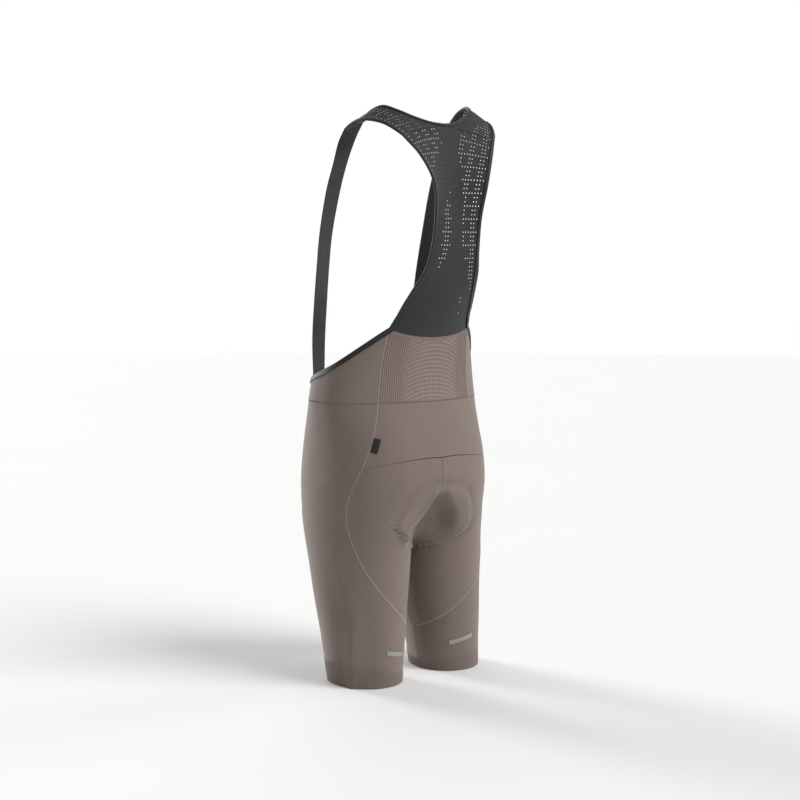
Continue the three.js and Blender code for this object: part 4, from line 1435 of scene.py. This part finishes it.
def panel_seams():
    """Points of the form along the waist seam, the upper inseams and the centre seams"""
    lines = []
    for side, _ in SIDES:
        angles = np.linspace(row_end(WAIST_SEAM, -1, 0), side_seam(WAIST_SEAM), 240)
        lines.append(ray_point(side, WAIST_SEAM, angles))
        rows = np.linspace(SEAT_TIP, INSEAM_TOP, 120)
        lines.append(ray_point(side, rows, np.full_like(rows, 180.0)))
    u = np.linspace(0, 1, 240)
    side, q = across_back(u)
    start, stop = row_end(WAIST_SEAM, 1, 0), side_seam(WAIST_SEAM)
    lines.append(ray_point(side, np.full_like(u, WAIST_SEAM), start + (stop - start) * q))
    for back, top in ((1, float(yoke_row(0.0))), (-1, FRONT_EDGE[0][1] - 6)):
        rows = np.linspace(CROTCH_ROW + 2, top, 160)
        lines.append(ray_point(1, rows, row_end(rows, back, 0)))
    return lines


def on_cloth(line):
    """Seam line at equal distances on the worn cloth, and the cloth's normal at each point"""
    point = spaced_along(line, STITCH_PITCH)
    normal = field_normal(point)
    return point + normal * relief(point)[:, None], normal


def strap_seams():
    """Points and normals across the straps, where they are sewn to the waist front and under the mesh"""
    q = np.linspace(0.06, 0.94, 60)
    seams = []
    for side, _ in SIDES:
        for height in (467, 471):
            x = STRAP[0][1] + (STRAP[0][3] - STRAP[0][1]) * q + profile(STRAP_FOOT, 1, height)
            line = front_point(side, x, np.full_like(x, height), STRAP_LIFT)
            point = spaced_along(line, STITCH_PITCH)
            seams.append((point, field_normal(point)))
        for step in (5.65, 5.85):
            count = len(spaced_along(shoulder_point(side, step, q), STITCH_PITCH))
            share = np.linspace(q[0], q[-1], count)
            seams.append((shoulder_point(side, step, share), shoulder_normal(side, step, share)))
    return seams


def spaced_along(line, pitch):
    """Points at equal distances along a line"""
    along = lengths(line[:, None], 0)[:, 0]
    at = np.arange(pitch / 2, along[-1], pitch)
    return np.stack([np.interp(at, along, line[:, k]) for k in range(3)], -1)


class BIB_OT_stitches(bpy.types.Operator):
    """Stitches across the seams, one thread modelled once and copied along them"""

    bl_idname = "bib.stitches"
    bl_label = "Seam stitches"

    def execute(self, context):
        knot, faces = self.thread(context)
        side = [on_cloth(line) for line in side_seams()]
        panel = [on_cloth(line) for line in panel_seams()]
        self.sew(context, "side_seam_stitches", side, knot, faces, "thread", "taupe_knit")
        self.sew(context, "panel_seam_stitches", panel, knot, faces, "tone_thread", "taupe_knit")
        self.sew(context, "strap_stitches", strap_seams(), knot, faces, "dark_thread", "elastic")
        return {"FINISHED"}

    def thread(self, context):
        """Corners and faces of one stitch of unit size"""
        bpy.ops.object.select_all(action="DESELECT")
        bpy.ops.mesh.primitive_uv_sphere_add(segments=6, ring_count=3, radius=1)
        thread = context.object
        corners = np.array([vertex.co for vertex in thread.data.vertices])
        faces = [tuple(face.vertices) for face in thread.data.polygons]
        bpy.data.objects.remove(thread)
        return corners, faces

    def sew(self, context, name, seams, knot, faces, thread, slot):
        """Copies the thread across each seam, slanting to and fro"""
        centre, along, normal = [], [], []
        for point, up in seams:
            centre.append(point + up * STITCH_LIFT)
            along.append(unit(np.gradient(point, axis=0)))
            normal.append(up)
        centre, along, normal = (np.concatenate(part) for part in (centre, along, normal))
        across = unit(np.cross(along, normal))
        slant = np.where(np.arange(len(centre)) % 2 == 0, STITCH_SLANT, -STITCH_SLANT)[:, None]
        reach = unit(across + along * slant) * STITCH_REACH
        width = unit(np.cross(reach, normal)) * STITCH_RADIUS
        copies = (
            centre[:, None]
            + knot[:, 2, None] * reach[:, None]
            + knot[:, 0, None] * width[:, None]
            + knot[:, 1, None] * normal[:, None] * STITCH_RADIUS
        )
        every = [tuple(k * len(knot) + v for v in face) for k in range(len(centre)) for face in faces]
        mesh = bpy.data.meshes.new(name)
        mesh.from_pydata(to_frame(copies.reshape(-1, 3)).tolist(), [], every)
        piece = bpy.data.objects.new(name, mesh)
        context.collection.objects.link(piece)
        mesh.materials.append(material_for(thread))
        mesh.polygons.foreach_set("use_smooth", np.ones(len(every), bool))
        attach(piece, "root")


# Side label and reflective tabs: rows, angles, thickness in millimetres and flat size in metres
LABEL = ((406, 425), (0.8, 6.8), 0.8, (0.012, 0.025))
TAB = ((70, 78), (84, 119), 0.6, (0.044, 0.01))
TAB_AREA = 0.044 * 0.008


class BIB_OT_trims(bpy.types.Operator):
    """Blank side label and the reflective tabs"""

    bl_idname = "bib.trims"
    bl_label = "Label and tabs"

    def execute(self, context):
        self.patch("label_cloth", 1, LABEL, "side_label", "label", None, side_seam)
        for side, word in SIDES:
            self.patch(f"tab_film_{word}", side, TAB, f"reflective_tab_{word}", "reflective", TAB_AREA)
        return {"FINISHED"}

    def patch(self, name, side, size, node, slot, area, start=None):
        """Lays a patch on the cloth between two rows and two angles, counted from a seam if one is given"""
        rows, angles, thick, flat = size

        def shape(u, v):
            t = u if side > 0 else 1 - u
            row = rows[0] + (rows[1] - rows[0]) * v
            angle = angles[0] + (angles[1] - angles[0]) * t + (start(row) if start else 0)
            form = ray_point(side, row, angle)
            lift = relief(form) + SEAM_GAP + thick
            return form + field_normal(form) * lift[..., None], {}

        make_sheet(
            name, 24, 10, shape, thick * MM, node, slot,
            flat=flat, area=area, held="laid", rests_on=["leg_cloth_left" if side > 0 else "leg_cloth_right"],
        )


# Light of the studio's walls on the object, and brightness of the backdrop behind it
FILL_LIGHT = 0.26
BACKDROP = 1.0

# Large soft lamps: name, direction they stand in, spread in degrees and strength
LIGHTS = (
    ("rear_key", (-0.5, 1.0, 1.0), 36, 2.1),
    ("right_soft", (-1.0, 0.2, 0.2), 24, 0.9),
    ("side_rim", (0.15, -1.0, 0.2), 20, 2.8),
    ("front_soft", (-0.5, -1.0, 0.9), 50, 0.6),
)

# Camera: azimuth and elevation in degrees, distance from its target, lens and film in millimetres, and shift
CAMERA_AZIMUTH = 140
CAMERA_ELEVATION = 5
CAMERA_REACH = 2.6
CAMERA_TARGET = (0, 0, -0.468)
CAMERA_LENS = 70.2
CAMERA_FILM = 36
CAMERA_SHIFT = (0.005, -0.005)


def direction(aim):
    """Turn that points a camera or light along a direction, upright"""
    flat = math.hypot(aim[0], aim[1])
    return (math.atan2(flat, -aim[2]), 0, math.atan2(-aim[0], aim[1]))


class BIB_OT_stage(bpy.types.Operator):
    """Pale floor, soft studio light and the camera"""

    bl_idname = "bib.stage"
    bl_label = "Stage"

    def execute(self, context):
        self.floor(context)
        self.lights(context)
        self.camera(context)
        return {"FINISHED"}

    def floor(self, context):
        """Plain round floor, just under the hems"""
        bpy.ops.object.select_all(action="DESELECT")
        bpy.ops.mesh.primitive_circle_add(vertices=96, radius=9, fill_type="NGON", location=(0, 0, 0))
        floor = context.object
        floor.name = "studio_floor"
        floor.data.transform(floor.matrix_world)
        for vertex in floor.data.vertices:
            vertex.co.z = -(CREST_HEIGHT + 1) * MM
        material, tree, shader = start_material("matt_studio_floor", {"Roughness": 0.9})
        place = add_node(tree, "ShaderNodeTexCoord").outputs["Object"]
        grain = add_node(tree, "ShaderNodeTexNoise", {"Vector": place, "Scale": 3}).outputs["Fac"]
        shade = add_node(
            tree, "ShaderNodeMapRange", {"Value": grain, "To Min": 0.985, "To Max": 1.0}
        ).outputs[0]
        colour_surface(tree, shader, context.scene.bib_colours.floor, shade)
        floor.data.materials.append(material)

    def lights(self, context):
        """Even light from all round, a pale backdrop that only the camera sees, and the lamps"""
        world = bpy.data.worlds.new("studio_air")
        world.use_nodes = True
        tree = world.node_tree
        seen = add_node(tree, "ShaderNodeLightPath").outputs["Is Camera Ray"]
        strength = add_node(
            tree, "ShaderNodeMapRange", {"Value": seen, "To Min": FILL_LIGHT, "To Max": BACKDROP}
        ).outputs[0]
        background = tree.nodes["Background"]
        background.inputs["Color"].default_value = (1, 1, 1, 1)
        tree.links.new(strength, background.inputs["Strength"])
        context.scene.world = world
        context.scene.view_settings.view_transform = "Standard"
        for name, place, spread, strength in LIGHTS:
            data = bpy.data.lights.new(name, "SUN")
            data.energy, data.angle = strength, math.radians(spread)
            light = bpy.data.objects.new(name, data)
            light.location = place
            light.rotation_euler = direction(-np.array(place))
            context.collection.objects.link(light)

    def camera(self, context):
        """Level camera behind the wearer's left side"""
        azimuth, elevation = math.radians(CAMERA_AZIMUTH), math.radians(CAMERA_ELEVATION)
        flat = math.cos(elevation)
        back = np.array([math.sin(azimuth) * flat, -math.cos(azimuth) * flat, math.sin(elevation)])
        data = bpy.data.cameras.new("photo_camera")
        data.lens, data.sensor_width = CAMERA_LENS, CAMERA_FILM
        data.shift_x, data.shift_y = CAMERA_SHIFT
        camera = bpy.data.objects.new("photo_camera", data)
        camera.location = np.array(CAMERA_TARGET) + back * CAMERA_REACH
        camera.rotation_euler = direction(-back)
        context.collection.objects.link(camera)
        context.scene.camera = camera


class BIB_PT_bib_shorts(bpy.types.Panel):
    """Lists the pieces and their sizes and colours"""

    bl_idname = "BIB_PT_bib_shorts"
    bl_label = "Bib shorts"
    bl_space_type = "VIEW_3D"
    bl_region_type = "UI"
    bl_category = "Bib shorts"

    def draw(self, context):
        for group in (context.scene.bib_sizes, context.scene.bib_colours):
            for name in group.__annotations__:
                self.layout.prop(group, name)
        for operator in OPERATORS:
            self.layout.operator(operator.bl_idname)


OPERATORS = (
    BIB_OT_stage,
    BIB_OT_leg_panels,
    BIB_OT_seat_panels,
    BIB_OT_back_yoke,
    BIB_OT_waist_fronts,
    BIB_OT_lumbar_panel,
    BIB_OT_back_mesh,
    BIB_OT_front_straps,
    BIB_OT_bindings,
    BIB_OT_stitches,
    BIB_OT_trims,
)
CLASSES = (BibShortsSizes, BibShortsColours, *OPERATORS, BIB_PT_bib_shorts)


def register():
    for cls in CLASSES:
        bpy.utils.register_class(cls)
    bpy.types.Scene.bib_sizes = bpy.props.PointerProperty(type=BibShortsSizes)
    bpy.types.Scene.bib_colours = bpy.props.PointerProperty(type=BibShortsColours)


def unregister():
    del bpy.types.Scene.bib_colours
    del bpy.types.Scene.bib_sizes
    for cls in reversed(CLASSES):
        bpy.utils.unregister_class(cls)


def main():
    register()
    for operator in OPERATORS:
        group, name = operator.bl_idname.split(".")
        getattr(getattr(bpy.ops, group), name)()


if __name__ == "__main__":
    main()
